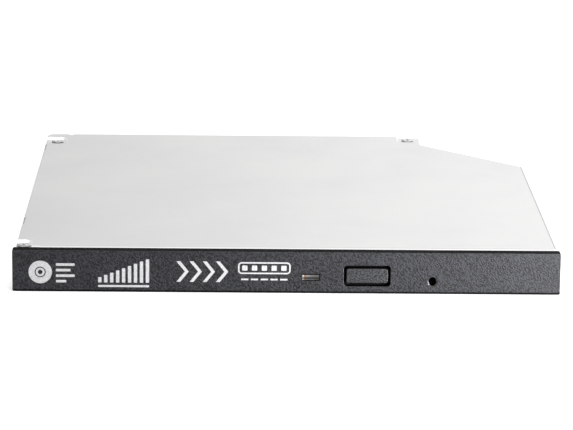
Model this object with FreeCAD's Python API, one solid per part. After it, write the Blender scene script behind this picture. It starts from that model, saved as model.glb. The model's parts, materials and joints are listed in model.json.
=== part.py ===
import FreeCAD, Part
import math
import os
from FreeCAD import Placement, Rotation, Vector

os.makedirs("parts", exist_ok=True)

# A slim tray-loading disc writer, 9.5 mm high, in millimetres.
# X runs to the right of someone facing the bezel, Y runs from the bezel to the rear, Z is up.
# The origin is at the bottom centre of the whole drive.

# Overall sizes
body_width = 128.0
body_depth = 126.1
body_height = 9.5
bezel_width = 129.2
bezel_height = 10.1
bezel_depth = 2.5

# Sheet, moulding and running clearances
case_sheet = 0.5
cover_sheet = 0.45
fit = 0.05
running = 0.3
bezel_wall = 1.3
tray_wall = 1.0

# Plan of the body: screw ear and diagonal at the rear right, raised wing along the right side
ear_x = 38.7
ear_side = 10.6
wing_cut = 36.7
rear_corner = (1.0, 2.0)
step_x = 44.0
wing_rise = 4.4
cover_setback = 0.2
flange_drop = 2.0
cover_bend = 0.35

# Disc and spindle
disc_setback = 62.5
disc_radius = 60.0
well_clearance = 0.75
disc_seat_z = 6.9
hub_radius = 7.35
hub_rise = 2.0
rotor_radius = 13.2

# Tray
tray_top_z = 8.2
well_floor_z = 6.2
well_skin = 1.2
tray_sheet = 0.3
rim = 1.95
small_disc_radius = 41.0
ring_step = 0.25

# Derived planes
half_width = body_width / 2
bezel_front_y = -(body_depth + bezel_depth) / 2
bezel_back_y = bezel_front_y + bezel_depth
rear_y = bezel_back_y + body_depth
cover_front_y = bezel_back_y + cover_setback
cover_top_z = bezel_height
case_bottom_z = bezel_height - body_height
floor_z = case_bottom_z + case_sheet
cover_under_z = cover_top_z - cover_sheet
wing_under_z = case_bottom_z + wing_rise
wing_floor_z = wing_under_z + case_sheet
case_inset = cover_sheet + fit
case_left_x = -half_width + case_inset + case_sheet
case_rear_y = rear_y - case_inset - case_sheet
step_inner_x = step_x - case_sheet
tray_rear_y = case_rear_y - 5.3
tray_arm_y = case_rear_y - 19.3
disc_y = bezel_back_y + disc_setback
well_radius = disc_radius + well_clearance
tray_outer_radius = well_radius + rim
well_skin_z = well_floor_z - well_skin
front_wall_y = bezel_back_y + 1.2

# Slide rails, measured inwards from the case wall and up from the case floor
guide_wall = 0.6
guide_base = 0.4
rail_sheet = 0.5
rail_flange = 0.4
rib_height = 1.4
rib_gap = 0.3
rail_setback = 21.8
guide_setback = 6.0
guide_length = {"left": body_depth - 10.1, "right": body_depth - 25.1}
guide_stop = 1.0
slot_pitch = 20.0
slot_length = 8.0
rail_length = {side: guide_setback + length - guide_stop - running - rail_setback
               for side, length in guide_length.items()}
rib_length = body_depth - 22.1
rail_near = guide_wall + running
rib_near = rail_near + rail_sheet + rib_gap
tray_side = rib_near + 1.3
rail_bottom_z = floor_z + guide_base + running
rib_bottom_z = rail_bottom_z + rail_flange + rib_gap
rib_top_z = rib_bottom_z + rib_height
rail_top_z = rib_top_z + rib_gap + rail_flange
guide_top_z = rail_top_z + running + guide_base
tray_left_x = case_left_x + tray_side
tray_right_x = step_inner_x - tray_side
lower_radius = disc_radius
slab_z = guide_top_z + running
tray_bottom_z = floor_z + 0.4 + tray_sheet

# Bezel openings, from the photo
button_x = 18.95
button_z = 4.3
button_size = (9.8, 3.6)
button_groove = (11.0, 5.0)
button_travel = 0.45
lamp_x = 5.8
lamp_z = 3.9
lamp_size = (4.2, 1.7)
lamp_recess = 0.15
pinhole_x = 34.4
pinhole_z = 3.0
pinhole_radius = 0.95

# Latch
lock_pin = (37.0, bezel_back_y + 12.3)
lock_pin_radius = 1.0
latch_pivot = (31.5, bezel_back_y + 5.2)
latch_release = 16.0
latch_z = (2.6, 4.2)
plunger_radius = 1.0
plunger_tip_x = 30.7

# Traverse unit, in its own frame: X outwards along the lens path, Y across it, origin at the spindle
traverse_turn = 225.0
lens_rest = 25.0
frame_z = (2.6, 3.4)
rod_radius = 0.9
rod_offset = 16.5
rod_z = 3.8
rod_end_room = 5.2
rod_outer = (disc_setback - rod_end_room) / abs(math.sin(math.radians(traverse_turn))) - rod_offset
rod_span = (9.5, rod_outer)
support_length = 2.5
support_roof = 0.2
support_half = 1.6
screw_offset = -22.5
screw_radius = 0.9
screw_span = (5.8, rod_outer - 7.5)
plate_sheet = 0.4
damper_spots = [(-16.0, 25.5), (rod_outer - 14.5, 25.5), (-25.5, -12.0), (rod_outer - 16.5, -31.0)]
damper_tabs = [3.5, 3.5, 4.5, 3.5]


# General shapes
def box(x0, x1, y0, y1, z0, z1):
    return Part.makeBox(x1 - x0, y1 - y0, z1 - z0, Vector(x0, y0, z0))


def prism(points, z0, z1):
    corners = [Vector(x, y, z0) for x, y in points]
    outline = Part.makePolygon(corners + corners[:1])
    return Part.Face(outline).extrude(Vector(0, 0, z1 - z0))


def upright(radius, x, y, z0, z1):
    return Part.makeCylinder(radius, z1 - z0, Vector(x, y, z0))


def ring(outer, inner, x, y, z0, z1):
    return upright(outer, x, y, z0, z1).cut(upright(inner, x, y, z0 - 1, z1 + 1))


def along_x(radius, x0, x1, y, z):
    return Part.makeCylinder(radius, x1 - x0, Vector(x0, y, z), Vector(1, 0, 0))


def along_y(radius, y0, y1, x, z):
    return Part.makeCylinder(radius, y1 - y0, Vector(x, y0, z), Vector(0, 1, 0))


def rounded_upright(shape, radius):
    edges = [e for e in shape.Edges if abs(e.tangentAt(e.FirstParameter).z) > 0.99]
    return shape.makeFillet(radius, edges)


def rounded_box(x0, x1, y0, y1, z0, z1, radius):
    return rounded_upright(box(x0, x1, y0, y1, z0, z1), radius)


def drawn_pan(x0, x1, y0, y1, z0, z1, radius, slope):
    # A pan as a press draws it: its rounded outline at z1 comes in by the slope on its way down to z0
    low = rounded_box(x0 + slope, x1 - slope, y0 + slope, y1 - slope, z0, z1, radius - slope)
    high = rounded_box(x0, x1, y0, y1, z1, z1 + 1, radius)
    wires = [min(shape.Faces, key=lambda face: face.CenterOfMass.z).OuterWire for shape in (low, high)]
    return Part.makeLoft(wires, True, True)


def inset(points, distance):
    # Each side of the anticlockwise outline moves inwards, and neighbours meet again
    moved = []
    count = len(points)
    for i in range(count):
        before, here, after = points[i - 1], points[i], points[(i + 1) % count]
        ax, ay = here[0] - before[0], here[1] - before[1]
        bx, by = after[0] - here[0], after[1] - here[1]
        a_long, b_long = math.hypot(ax, ay), math.hypot(bx, by)
        ax, ay, bx, by = ax / a_long, ay / a_long, bx / b_long, by / b_long
        px, py = here[0] - ay * distance, here[1] + ax * distance
        qx, qy = here[0] - by * distance, here[1] + bx * distance
        run = ((qx - px) * by - (qy - py) * bx) / (ax * by - ay * bx)
        moved.append((px + ax * run, py + ay * run))
    return moved


def fused(first, *others):
    shape = first
    for other in others:
        shape = shape.fuse(other)
    return shape.removeSplitter()


def save(name, shape):
    shape.exportStep("parts/" + name + ".step")


def save_group(name, shapes):
    Part.makeCompound(shapes).exportStep("parts/" + name + ".step")


# Outlines of the body
def body_outline():
    return [
        (-half_width, cover_front_y),
        (half_width, cover_front_y),
        (half_width, rear_y - wing_cut),
        (ear_x, rear_y - ear_side),
        (ear_x, rear_y),
        (-half_width + rear_corner[0], rear_y),
        (-half_width, rear_y - rear_corner[1]),
    ]


def open_front(points):
    # The first two corners are the front ones: they move out past the bezel
    ahead = bezel_front_y - 1
    return [(points[0][0], ahead), (points[1][0], ahead)] + points[2:]


# Screw seats of the top cover: the pan's box in plan, then the screw
cover_seats = [
    {"pan": (-half_width - 3, -half_width + 3.9, cover_front_y - 3, cover_front_y + 6.7),
     "screw": (-half_width + 1.8, cover_front_y + 3.0)},
    {"pan": (-half_width - 3, -half_width + 5.7, rear_y - 12.5, rear_y - 4.5),
     "screw": (-half_width + 3.1, rear_y - 8.3)},
    {"pan": (ear_x - 6.2, ear_x + 3, rear_y - 7.3, rear_y + 3), "screw": (ear_x - 3.3, rear_y - 3.6)},
]
lip_run = 1.6
lip_fall = 0.35
seat_depth = 0.5
seat_corner = 1.9
seat_slope = 0.4
screw_shank = 0.75
screw_head = (1.6, 0.4)
side_tabs = [bezel_back_y + 26.2, bezel_back_y + 109.0]
side_tab_length = 7.0
side_tab_z = 8.6
side_window_gap = 0.15
rear_notch = (-half_width + 5.9, -half_width + 7.1, 1.3)
seat_z = cover_top_z - seat_depth
seat_under_z = seat_z - cover_sheet


def top_cover():
    outline = body_outline()
    cover = prism(outline, cover_top_z - flange_drop, cover_top_z)
    # The sheet bends over at the sides and the rear
    upper = [e for e in cover.Edges if e.BoundBox.ZMin > cover_top_z - 0.01]
    cover = cover.makeFillet(cover_bend, [e for e in upper if e.BoundBox.YMax > cover_front_y + 1])
    inside = open_front(inset(outline, cover_sheet))
    cover = cover.cut(prism(inside, cover_top_z - flange_drop - 1, cover_under_z))
    within = prism(outline, seat_under_z, cover_top_z)
    for seat in cover_seats:
        x0, x1, y0, y1 = seat["pan"]
        grow = cover_sheet
        pan = drawn_pan(x0 - grow, x1 + grow, y0 - grow, y1 + grow, seat_under_z, cover_under_z,
                        seat_corner + grow, seat_slope)
        cover = cover.fuse(pan.common(within))
        cover = cover.cut(drawn_pan(x0, x1, y0, y1, seat_z, cover_top_z, seat_corner, seat_slope))
    for seat in cover_seats:
        x, y = seat["screw"]
        cover = cover.cut(upright(screw_shank + 0.1, x, y, seat_under_z - 1, cover_top_z))
    # Front lip: the sheet slopes down towards the bezel, right of the front screw seat
    lip_left = cover_seats[0]["pan"][1] + 1.7
    lip_back = cover_front_y + lip_run
    cover = cover.cut(box(lip_left, half_width + 1, cover_front_y - 1, lip_back, cover_under_z - 0.01,
                          cover_top_z + 1))
    profile = [
        Vector(lip_left, lip_back, cover_top_z),
        Vector(lip_left, cover_front_y, cover_top_z - lip_fall),
        Vector(lip_left, cover_front_y, cover_under_z - lip_fall),
        Vector(lip_left, lip_back, cover_under_z),
    ]
    lip = Part.Face(Part.makePolygon(profile + profile[:1]))
    cover = cover.fuse(lip.extrude(Vector(half_width - cover_sheet - lip_left, 0, 0)))
    # Windows at the left edge for the case's tabs
    for y in side_tabs:
        half = side_tab_length / 2 + side_window_gap
        cover = cover.cut(box(-half_width - 1, -half_width + cover_sheet + fit, y - half, y + half, 0,
                              cover_top_z + 1))
    # Small notch in the rear edge
    x0, x1, deep = rear_notch
    cover = cover.cut(box(x0, x1, rear_y - deep, rear_y + 1, cover_under_z - 1, cover_top_z + 1))
    return cover.removeSplitter()


def cover_screws():
    screws = []
    for seat in cover_seats:
        x, y = seat["screw"]
        shank = upright(screw_shank, x, y, seat_under_z - case_sheet, seat_z)
        head = upright(screw_head[0], x, y, seat_z, seat_z + screw_head[1])
        drive = box(x - 0.9, x + 0.9, y - 0.2, y + 0.2, seat_z + 0.15, cover_top_z)
        cross = box(x - 0.2, x + 0.2, y - 0.9, y + 0.9, seat_z + 0.15, cover_top_z)
        screws.append(fused(shank, head).cut(drive).cut(cross))
    return screws


# Rear connector: a slim shell with two contact blades
connector_x = (-half_width + 8.0, -half_width + 33.0)
connector_z = (2.7, 7.4)
connector_length = 7.0
connector_shell = 0.7
blade_z = (4.3, 5.5)
contact_groups = [
    {"start": connector_x[0] + 2.4, "count": 7, "pitch": 1.27},
    {"start": connector_x[0] + 14.4, "count": 6, "pitch": 1.35},
]
contact_width = 0.8
contact_sheet = 0.15
board_sheet = 0.8
bracket_holes = {"x": (8.0, 26.0), "z": 5.0, "radius": 0.8}
side_holes = {"y": (bezel_back_y + 15.8, bezel_back_y + 73.8), "z": 6.6, "radius": 0.8}
gauge_holes = [
    (-half_width + 12.0, bezel_back_y + 9.8),
    (28.0, disc_y - 30.7),
    (-half_width + 14.0, disc_y + 29.3),
    (20.0, disc_y + 49.3),
]
gauge_radius = 1.5
# Beads pressed up into the floor: the middle in plan, then the size
floor_beads = [
    (-6.0, disc_y - 36.0, 60.0, 5.0),
    (8.0, disc_y + 20.0, 5.0, 44.0),
    (-47.0, disc_y - 8.0, 5.0, 40.0),
]
bead_depth = 0.15
bead_rise = 0.1
bead_corner = 2.4
bead_wall = 0.3


def bottom_case():
    outer = inset(body_outline(), case_inset)
    inner = open_front(inset(outer, case_sheet))
    wall_top_z = cover_under_z - fit
    deep_side = box(-half_width, step_x, bezel_front_y, rear_y, 0, cover_top_z)
    deep_inside = box(-half_width, step_inner_x, bezel_front_y - 2, rear_y, 0, cover_top_z)
    shell = prism(outer, case_bottom_z, wing_under_z + 0.1).common(deep_side)
    shell = shell.fuse(prism(outer, wing_under_z, wall_top_z))
    shell = shell.cut(prism(inner, floor_z, wing_floor_z + 0.1).common(deep_inside))
    shell = shell.cut(prism(inner, wing_floor_z, cover_top_z))
    within = prism(outer, case_bottom_z, wall_top_z)
    # Tabs that take the cover's screws
    for seat in cover_seats:
        x0, x1, y0, y1 = seat["pan"]
        tab = box(x0, x1, y0, y1, seat_under_z - case_sheet, seat_under_z).common(within)
        notch = box(x0 - 1, x1 + 1, y0 - 0.5, y1 + 0.5, seat_under_z, cover_top_z)
        x, y = seat["screw"]
        shell = shell.cut(notch).fuse(tab)
        shell = shell.cut(upright(screw_shank + 0.05, x, y, seat_under_z - 1, cover_top_z))
    # The walls stay under the cover's sloping front lip
    shell = shell.cut(box(-half_width, half_width, bezel_front_y, cover_front_y + lip_run + fit,
                          cover_under_z - lip_fall - fit, cover_top_z))
    # Tabs that stand out through the cover's side windows
    for y in side_tabs:
        half = side_tab_length / 2
        tab = box(-half_width, case_left_x, y - half, y + half, side_tab_z, wall_top_z)
        shell = shell.fuse(tab)
    # Rear wall: mouth for the connector and bracket screw holes
    x0, x1 = connector_x
    shell = shell.cut(box(x0 - 0.4, x1 + 0.4, case_rear_y - 1, rear_y, floor_z, connector_z[1] + 0.4))
    for x in bracket_holes["x"]:
        shell = shell.cut(along_y(bracket_holes["radius"], case_rear_y - 1, rear_y, x, bracket_holes["z"]))
    for y in side_holes["y"]:
        shell = shell.cut(along_x(side_holes["radius"], half_width - 2, half_width, y, side_holes["z"]))
        shell = shell.cut(along_x(side_holes["radius"], -half_width, -half_width + 2, y, side_holes["z"]))
    # Raised pads under the connector board
    for x, y in connector_board_posts:
        shell = shell.fuse(upright(1.5, x, y, case_bottom_z, connector_z[0] - board_sheet))
    # Stiffening beads, then gauge holes in the floor and the hole that the lock pin is riveted into
    for x, y, long, wide in floor_beads:
        x0, x1, y0, y1 = x - long / 2, x + long / 2, y - wide / 2, y + wide / 2
        shell = shell.fuse(rounded_box(x0, x1, y0, y1, floor_z - case_sheet / 2, floor_z + bead_rise,
                                       bead_corner))
        t = bead_wall
        shell = shell.cut(rounded_box(x0 + t, x1 - t, y0 + t, y1 - t, 0, case_bottom_z + bead_depth,
                                      bead_corner - t))
    for x, y in gauge_holes:
        shell = shell.cut(upright(gauge_radius, x, y, 0, floor_z + 1))
    shell = shell.cut(upright(0.7, lock_pin[0], lock_pin[1], 0, floor_z + 1))
    return shell.removeSplitter()


def lock_pin_piece():
    x, y = lock_pin
    foot = upright(1.5, x, y, floor_z, floor_z + 0.3)
    post = upright(lock_pin_radius, x, y, floor_z, latch_z[1] + 0.3)
    rivet = upright(0.65, x, y, case_bottom_z, floor_z)
    return fused(foot, post, rivet)


# Slide rails: each side is measured inwards from its own wall
def side_box(side, near, far, y0, y1, z0, z1):
    if side == "left":
        return box(case_left_x + near, case_left_x + far, y0, y1, z0, z1)
    return box(step_inner_x - far, step_inner_x - near, y0, y1, z0, z1)


def rail_guide(side):
    y0 = bezel_back_y + guide_setback
    y1 = y0 + guide_length[side]
    base = side_box(side, 0, tray_side - running, y0, y1, floor_z, floor_z + guide_base)
    wall = side_box(side, 0, guide_wall, y0, y1, floor_z, guide_top_z)
    lip = side_box(side, 0, tray_side - 1.0, y0, y1, guide_top_z - guide_base, guide_top_z)
    stop = side_box(side, 0, tray_side - running, y1 - guide_stop, y1, floor_z, guide_top_z)
    return fused(base, wall, lip, stop)


def slide_rail(side):
    y0 = bezel_back_y + rail_setback
    y1 = y0 + rail_length[side]
    far = tray_side - running
    web = side_box(side, rail_near, rail_near + rail_sheet, y0, y1, rail_bottom_z, rail_top_z)
    low = side_box(side, rail_near, far, y0, y1, rail_bottom_z, rail_bottom_z + rail_flange)
    high = side_box(side, rail_near, far, y0, y1, rail_top_z - rail_flange, rail_top_z)
    rail = fused(web, low, high)
    # Lightening slots in the web
    count = int((rail_length[side] - slot_pitch) // slot_pitch)
    for i in range(count):
        y = y0 + slot_pitch * (i + 1)
        slot = side_box(side, 0, rib_near, y - slot_length / 2, y + slot_length / 2, rib_bottom_z + 0.2,
                        rib_top_z - 0.2)
        rail = rail.cut(slot)
    return rail


# Rear board and connector
connector_board_front = case_rear_y - 17.8
connector_board_posts = [(tray_left_x + 2.4, case_rear_y - 14.3), (connector_x[1] + 5.0, case_rear_y - 2.1)]
connector_board_right = connector_x[1] + 11.0


def connector_board():
    z1 = connector_z[0]
    board = box(tray_left_x + 0.4, connector_board_right, connector_board_front, case_rear_y - 0.4,
                z1 - board_sheet, z1)
    return board.cut(upright(lower_radius + 1.0, 0, disc_y, 0, cover_top_z))


def connector_housing():
    x0, x1 = connector_x
    y1 = rear_y - case_inset
    y0 = y1 - connector_length
    shell = box(x0, x1, y0, y1, connector_z[0], connector_z[1])
    t = connector_shell
    shell = shell.cut(box(x0 + t, x1 - t, y0 + 1.5, y1 + 1, connector_z[0] + t, connector_z[1] - t))
    for group in contact_groups:
        left = group["start"] - contact_width
        right = group["start"] + group["pitch"] * (group["count"] - 1) + contact_width
        shell = shell.fuse(box(left, right, y0 + 1.4, y1 - 0.8, blade_z[0], blade_z[1]))
    return shell.removeSplitter()


def connector_contacts():
    y1 = rear_y - case_inset - 1.2
    strips = []
    for group in contact_groups:
        for i in range(group["count"]):
            x = group["start"] + group["pitch"] * i
            half = contact_width / 2
            strips.append(box(x - half, x + half, y1 - 3.6, y1, blade_z[1], blade_z[1] + contact_sheet))
    return strips


# Flexible cable: one run is glued to the case floor, then it folds and a free run goes back to the main board
cable_x = (-34.0, -22.0)
cable_film = 0.1
cable_rear_y = case_rear_y - 4.4
cable_fold_y = disc_y - 10.7
cable_board_y = disc_y + 44.3
cable_run_z = floor_z + 0.18
cable_slot = 0.8


def flex_cable():
    x0, x1 = cable_x
    run = box(x0, x1, cable_fold_y, cable_rear_y, floor_z, floor_z + cable_film)
    rise = box(x0, x1, cable_rear_y - cable_film, cable_rear_y, floor_z, connector_z[0] - board_sheet)
    return fused(run, rise)


def flex_loop():
    x0, x1 = cable_x
    top_z = cable_run_z + cable_film
    fold = box(x0, x1, cable_fold_y - cable_film, cable_fold_y, floor_z, top_z)
    run = box(x0, x1, cable_fold_y - cable_film, cable_board_y, cable_run_z, top_z)
    rise = box(x0, x1, cable_board_y - cable_film, cable_board_y, cable_run_z, main_board_z)
    return fused(fold, run, rise)


# Bezel and what shows in it
bezel_ribs = (6.4 - bezel_width / 2, -34.0, -10.0, 11.0, 28.0, 46.0, bezel_width / 2 - 3.4)
bezel_clips = (18.4 - bezel_width / 2, -22.0, bezel_width / 2 - 12.4)
clip_z = (6.4, 7.4)
clip_width = 5.0
clip_reach = 3.2
corner_round = 0.45
edge_round = 0.25
opening_round = 0.12
bezel_rim = 1.0


def front_bezel():
    half = bezel_width / 2
    plate = box(-half, half, bezel_front_y, bezel_back_y, 0, bezel_height)
    corners = [e for e in plate.Edges if abs(e.tangentAt(e.FirstParameter).y) > 0.99]
    plate = plate.makeFillet(corner_round, corners)
    front = [e for e in plate.Edges if e.BoundBox.YMax < bezel_front_y + 0.01]
    plate = plate.makeFillet(edge_round, front)
    inner = box(-half + bezel_rim, half - bezel_rim, bezel_front_y + bezel_wall, bezel_back_y + 1,
                bezel_rim, bezel_height - bezel_rim)
    plate = plate.cut(inner)
    for x in bezel_ribs:
        plate = plate.fuse(box(x - 0.4, x + 0.4, bezel_front_y + 0.5, bezel_back_y, bezel_rim / 2,
                               bezel_height - bezel_rim / 2))
    # Snap clips that reach through the tray's front wall
    for x in bezel_clips:
        arm = box(x - clip_width / 2, x + clip_width / 2, bezel_front_y + 0.5, bezel_back_y + clip_reach,
                  clip_z[0], clip_z[1])
        plate = plate.fuse(arm)
    plate = plate.fuse(along_y(pinhole_radius + 1.0, bezel_front_y + 0.5, bezel_back_y, pinhole_x, pinhole_z))
    # Openings: button, lamp and emergency hole with its small chamfer
    w, h = button_groove
    cut = box(button_x - w / 2, button_x + w / 2, bezel_front_y - 1, bezel_front_y + bezel_wall + 0.1,
              button_z - h / 2, button_z + h / 2)
    edges = [e for e in cut.Edges if abs(e.tangentAt(e.FirstParameter).y) > 0.99]
    plate = plate.cut(cut.makeFillet(0.7, edges))
    front = [e for e in plate.Edges if e.BoundBox.YMax < bezel_front_y + 0.01]
    rims = [e for e in front if abs(e.BoundBox.Center.x - button_x) < w / 2 + 0.1
            and abs(e.BoundBox.Center.z - button_z) < h / 2 + 0.1]
    plate = plate.makeFillet(opening_round, rims)
    w, h = lamp_size
    plate = plate.cut(box(lamp_x - w / 2 - fit, lamp_x + w / 2 + fit, bezel_front_y - 1,
                          bezel_front_y + bezel_wall + 0.1, lamp_z - h / 2 - fit, lamp_z + h / 2 + fit))
    plate = plate.cut(along_y(pinhole_radius, bezel_front_y - 1, bezel_back_y + 1, pinhole_x, pinhole_z))
    chamfer = Part.makeCone(pinhole_radius + 0.25, pinhole_radius, 0.25,
                            Vector(pinhole_x, bezel_front_y, pinhole_z), Vector(0, 1, 0))
    return plate.cut(chamfer).removeSplitter()


stem_size = (3.0, 1.2)
switch_body_y = bezel_back_y + 2.9
switch_tip = 0.7


def eject_button():
    w, h = button_size
    front = bezel_front_y + 0.1
    shoulder_y = bezel_front_y + bezel_wall + 0.1
    cap = box(button_x - w / 2, button_x + w / 2, front, shoulder_y, button_z - h / 2, button_z + h / 2)
    edges = [e for e in cap.Edges if abs(e.tangentAt(e.FirstParameter).y) > 0.99]
    cap = cap.makeFillet(0.6, edges)
    rims = [e for e in cap.Edges if e.BoundBox.YMax < front + 0.01]
    cap = cap.makeFillet(0.2, rims)
    shoulder = box(button_x - w / 2 - 1.2, button_x + w / 2 + 1.2,
                   shoulder_y, bezel_back_y - button_travel - 0.1,
                   button_z - h / 2 - 1.0, button_z + h / 2 + 1.0)
    sw, sh = stem_size
    stem_end = switch_body_y - switch_tip - button_travel - fit
    stem = box(button_x - sw / 2, button_x + sw / 2, shoulder_y, stem_end,
               button_z - sh / 2, button_z + sh / 2)
    return fused(cap, shoulder, stem)


def light_guide():
    w, h = lamp_size
    bar = box(lamp_x - w / 2, lamp_x + w / 2, bezel_front_y + lamp_recess, bezel_back_y + 2.4,
              lamp_z - h / 2, lamp_z + h / 2)
    back = bezel_front_y + bezel_wall
    collar = box(lamp_x - w / 2 - 0.8, lamp_x + w / 2 + 0.8, back, bezel_back_y, lamp_z - h / 2 - 0.6,
                 lamp_z + h / 2 + 0.6)
    return fused(bar, collar)


# Front board with the switch and the lamp
front_board_box = (1.0, 26.0, bezel_back_y + 1.6, bezel_back_y + 8.6)
front_board_z = 2.1
front_board_posts = [(2.8, bezel_back_y + 6.8), (24.2, bezel_back_y + 6.8)]


def front_board():
    x0, x1, y0, y1 = front_board_box
    board = box(x0, x1, y0, y1, front_board_z, front_board_z + board_sheet)
    for x, y in front_board_posts:
        board = board.cut(upright(0.75, x, y, 0, cover_top_z))
    return board


def eject_switch():
    z0 = front_board_z + board_sheet
    body = box(button_x - 2.5, button_x + 2.5, switch_body_y, switch_body_y + 3.2, z0, z0 + 2.0)
    tip = box(button_x - 0.9, button_x + 0.9, switch_body_y - switch_tip, switch_body_y, z0 + 0.6, z0 + 1.8)
    return fused(body, tip)


def lamp():
    z0 = front_board_z + board_sheet
    y0 = bezel_back_y + 2.6
    body = box(lamp_x - 1.2, lamp_x + 1.2, y0, y0 + 1.4, z0, z0 + 1.7)
    return rounded_upright(body, 0.3)


# Tray
def drawer_plan(inward, z0, z1, left, right, front, radius):
    # Plan of the drawer: straight sides, the left one longer, and a round rear that follows the disc
    centre_box = box(left + inward, right - inward, front, disc_y, z0, z1)
    arm = box(left + inward, 0, disc_y - 1, tray_arm_y - inward, z0, z1)
    back = upright(radius - inward, 0, disc_y, z0, z1)
    back = back.common(box(left + inward, right - inward, disc_y - 1, tray_rear_y - inward, z0, z1))
    return centre_box.fuse(arm).fuse(back).removeSplitter()


def lower_plan(z0, z1):
    return drawer_plan(0, z0, z1, tray_left_x, tray_right_x, bezel_back_y, lower_radius)


def cavity(inward, z0, z1):
    # The space inside the tray's lower walls, drawn in by a distance
    return drawer_plan(tray_wall + inward, z0, z1, tray_left_x, tray_right_x, front_wall_y + inward,
                       lower_radius)


def on_traverse(shape):
    turned = shape.copy()
    turn = Placement(Vector(0, disc_y, 0), Rotation(Vector(0, 0, 1), traverse_turn))
    turned.Placement = turn.multiply(turned.Placement)
    return turned


def traverse_point(x, y):
    turn = math.radians(traverse_turn)
    return (x * math.cos(turn) - y * math.sin(turn), disc_y + x * math.sin(turn) + y * math.cos(turn))


plate_reach = {"x": (-24.0, rod_outer + 9.5), "y": (-30.0, 24.0)}
plate_margin = 2.0
tray_bosses = [
    (tray_left_x + 4.2, bezel_back_y + 4.4),
    (-8.0, bezel_back_y + 4.0),
    (14.5, disc_y + 43.3),
    (tray_left_x + 3.8, disc_y + 9.3),
    (31.0, disc_y + 25.3),
]
sheet_right_x = 34.5
sheet_screw = (1.4, 0.7)


def traverse_window(margin, z0, z1):
    x0, x1 = plate_reach["x"]
    y0, y1 = plate_reach["y"]
    return on_traverse(box(x0 + margin, x1 - margin, y0 + margin, y1 - margin, z0, z1))


def tray():
    slab_left = case_left_x + running
    slab = drawer_plan(0, slab_z, tray_top_z, slab_left, tray_right_x, bezel_back_y, tray_outer_radius)
    arm_right = half_width - case_inset - case_sheet - 1.0
    arm = prism([
        (tray_right_x - 1, bezel_back_y),
        (arm_right, bezel_back_y),
        (arm_right, bezel_back_y + 15.0),
        (arm_right - 6.0, bezel_back_y + 36.0),
        (tray_right_x - 1, bezel_back_y + 36.0),
    ], wing_floor_z + running, tray_top_z)
    body = slab.fuse(arm)
    body = body.fuse(lower_plan(tray_bottom_z, slab_z + 0.1))
    # The well for the disc, one step deeper where the small disc lies
    body = body.cut(upright(well_radius, 0, disc_y, well_floor_z + ring_step, cover_top_z))
    body = body.cut(upright(small_disc_radius, 0, disc_y, well_floor_z, cover_top_z))
    body = body.cut(cavity(0, 0, well_skin_z))
    # Right of the drawer nothing stays inside the disc's circle
    right = box(tray_right_x, half_width, bezel_front_y, rear_y, 0, cover_top_z)
    body = body.cut(upright(well_radius, 0, disc_y, 0, cover_top_z).common(right))
    # Window for the traverse unit, with a ledge for its cover plate
    body = body.cut(traverse_window(plate_margin, 0, cover_top_z).common(cavity(3.0, 0, well_floor_z + 1)))
    ledge = traverse_window(0, well_floor_z - plate_sheet, well_floor_z + 1)
    body = body.cut(ledge.common(cavity(1.2, 0, well_floor_z + 1)))
    # Side ribs that run in the rails
    for side in ("left", "right"):
        y1 = bezel_back_y + rib_length
        rib = side_box(side, rib_near, tray_side + 0.2, bezel_back_y + 1.0, y1, rib_bottom_z, rib_top_z)
        body = body.fuse(rib)
    # Posts: dampers, front board, latch pivot and sheet screws
    for x, y in damper_spots:
        px, py = traverse_point(x, y)
        body = body.fuse(upright(2.2, px, py, frame_z[1] + 0.4, well_skin_z + 0.1))
        body = body.cut(upright(0.85, px, py, 0, well_skin_z))
    for x, y in front_board_posts:
        body = body.fuse(upright(1.5, x, y, front_board_z + board_sheet, well_skin_z + 0.1))
        body = body.fuse(upright(0.7, x, y, front_board_z, well_skin_z))
    for x, y in tray_bosses:
        body = body.fuse(upright(1.7, x, y, tray_bottom_z, well_skin_z + 0.1))
        body = body.cut(upright(sheet_screw[1] + 0.05, x, y, 0, well_skin_z - 0.4))
    for x, y in main_board_posts():
        body = body.fuse(upright(1.5, x, y, main_board_z + board_sheet, well_skin_z + 0.1))
        body = body.fuse(upright(0.7, x, y, main_board_z, well_skin_z))
    px, py = latch_pivot
    body = body.fuse(upright(0.9, px, py, latch_z[0] - 0.4, well_skin_z + 0.1))
    # Openings in the front wall: bezel clips, button stem, light guide, emergency pin
    for x in bezel_clips:
        body = body.cut(box(x - clip_width / 2 - 0.1, x + clip_width / 2 + 0.1, bezel_back_y - 1,
                            bezel_back_y + clip_reach + 0.1, clip_z[0] - 0.1, clip_z[1] + 0.1))
    sw, sh = stem_size
    body = body.cut(box(button_x - sw / 2 - 0.4, button_x + sw / 2 + 0.4,
                        bezel_back_y - 1, front_wall_y + 0.1,
                        button_z - sh / 2 - 0.4, button_z + sh / 2 + 0.3))
    w, h = lamp_size
    body = body.cut(box(lamp_x - w / 2 - 0.1, lamp_x + w / 2 + 0.1, bezel_back_y - 1, front_wall_y + 0.1,
                        lamp_z - h / 2 - 0.1, lamp_z + h / 2 + 0.1))
    body = body.cut(along_y(pinhole_radius + 0.4, bezel_back_y - 1, front_wall_y + 0.1, pinhole_x, pinhole_z))
    # Channel for the lock pin, open at the rear, and the pusher's hole
    channel = lock_pin_radius + running
    body = body.cut(box(lock_pin[0] - channel, lock_pin[0] + channel, lock_pin[1], rear_y, 0,
                        latch_z[1] + 0.3 + running))
    body = body.cut(along_y(pusher_radius + 0.1, tray_rear_y - 8, rear_y, pusher_x, pusher_z))
    guide = box(pusher_x - 2.4, pusher_x + 2.4, pusher_guide_y, pusher_guide_y + pusher_guide_length,
                tray_bottom_z, well_skin_z + 0.1)
    body = body.fuse(guide)
    return body.removeSplitter()


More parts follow.
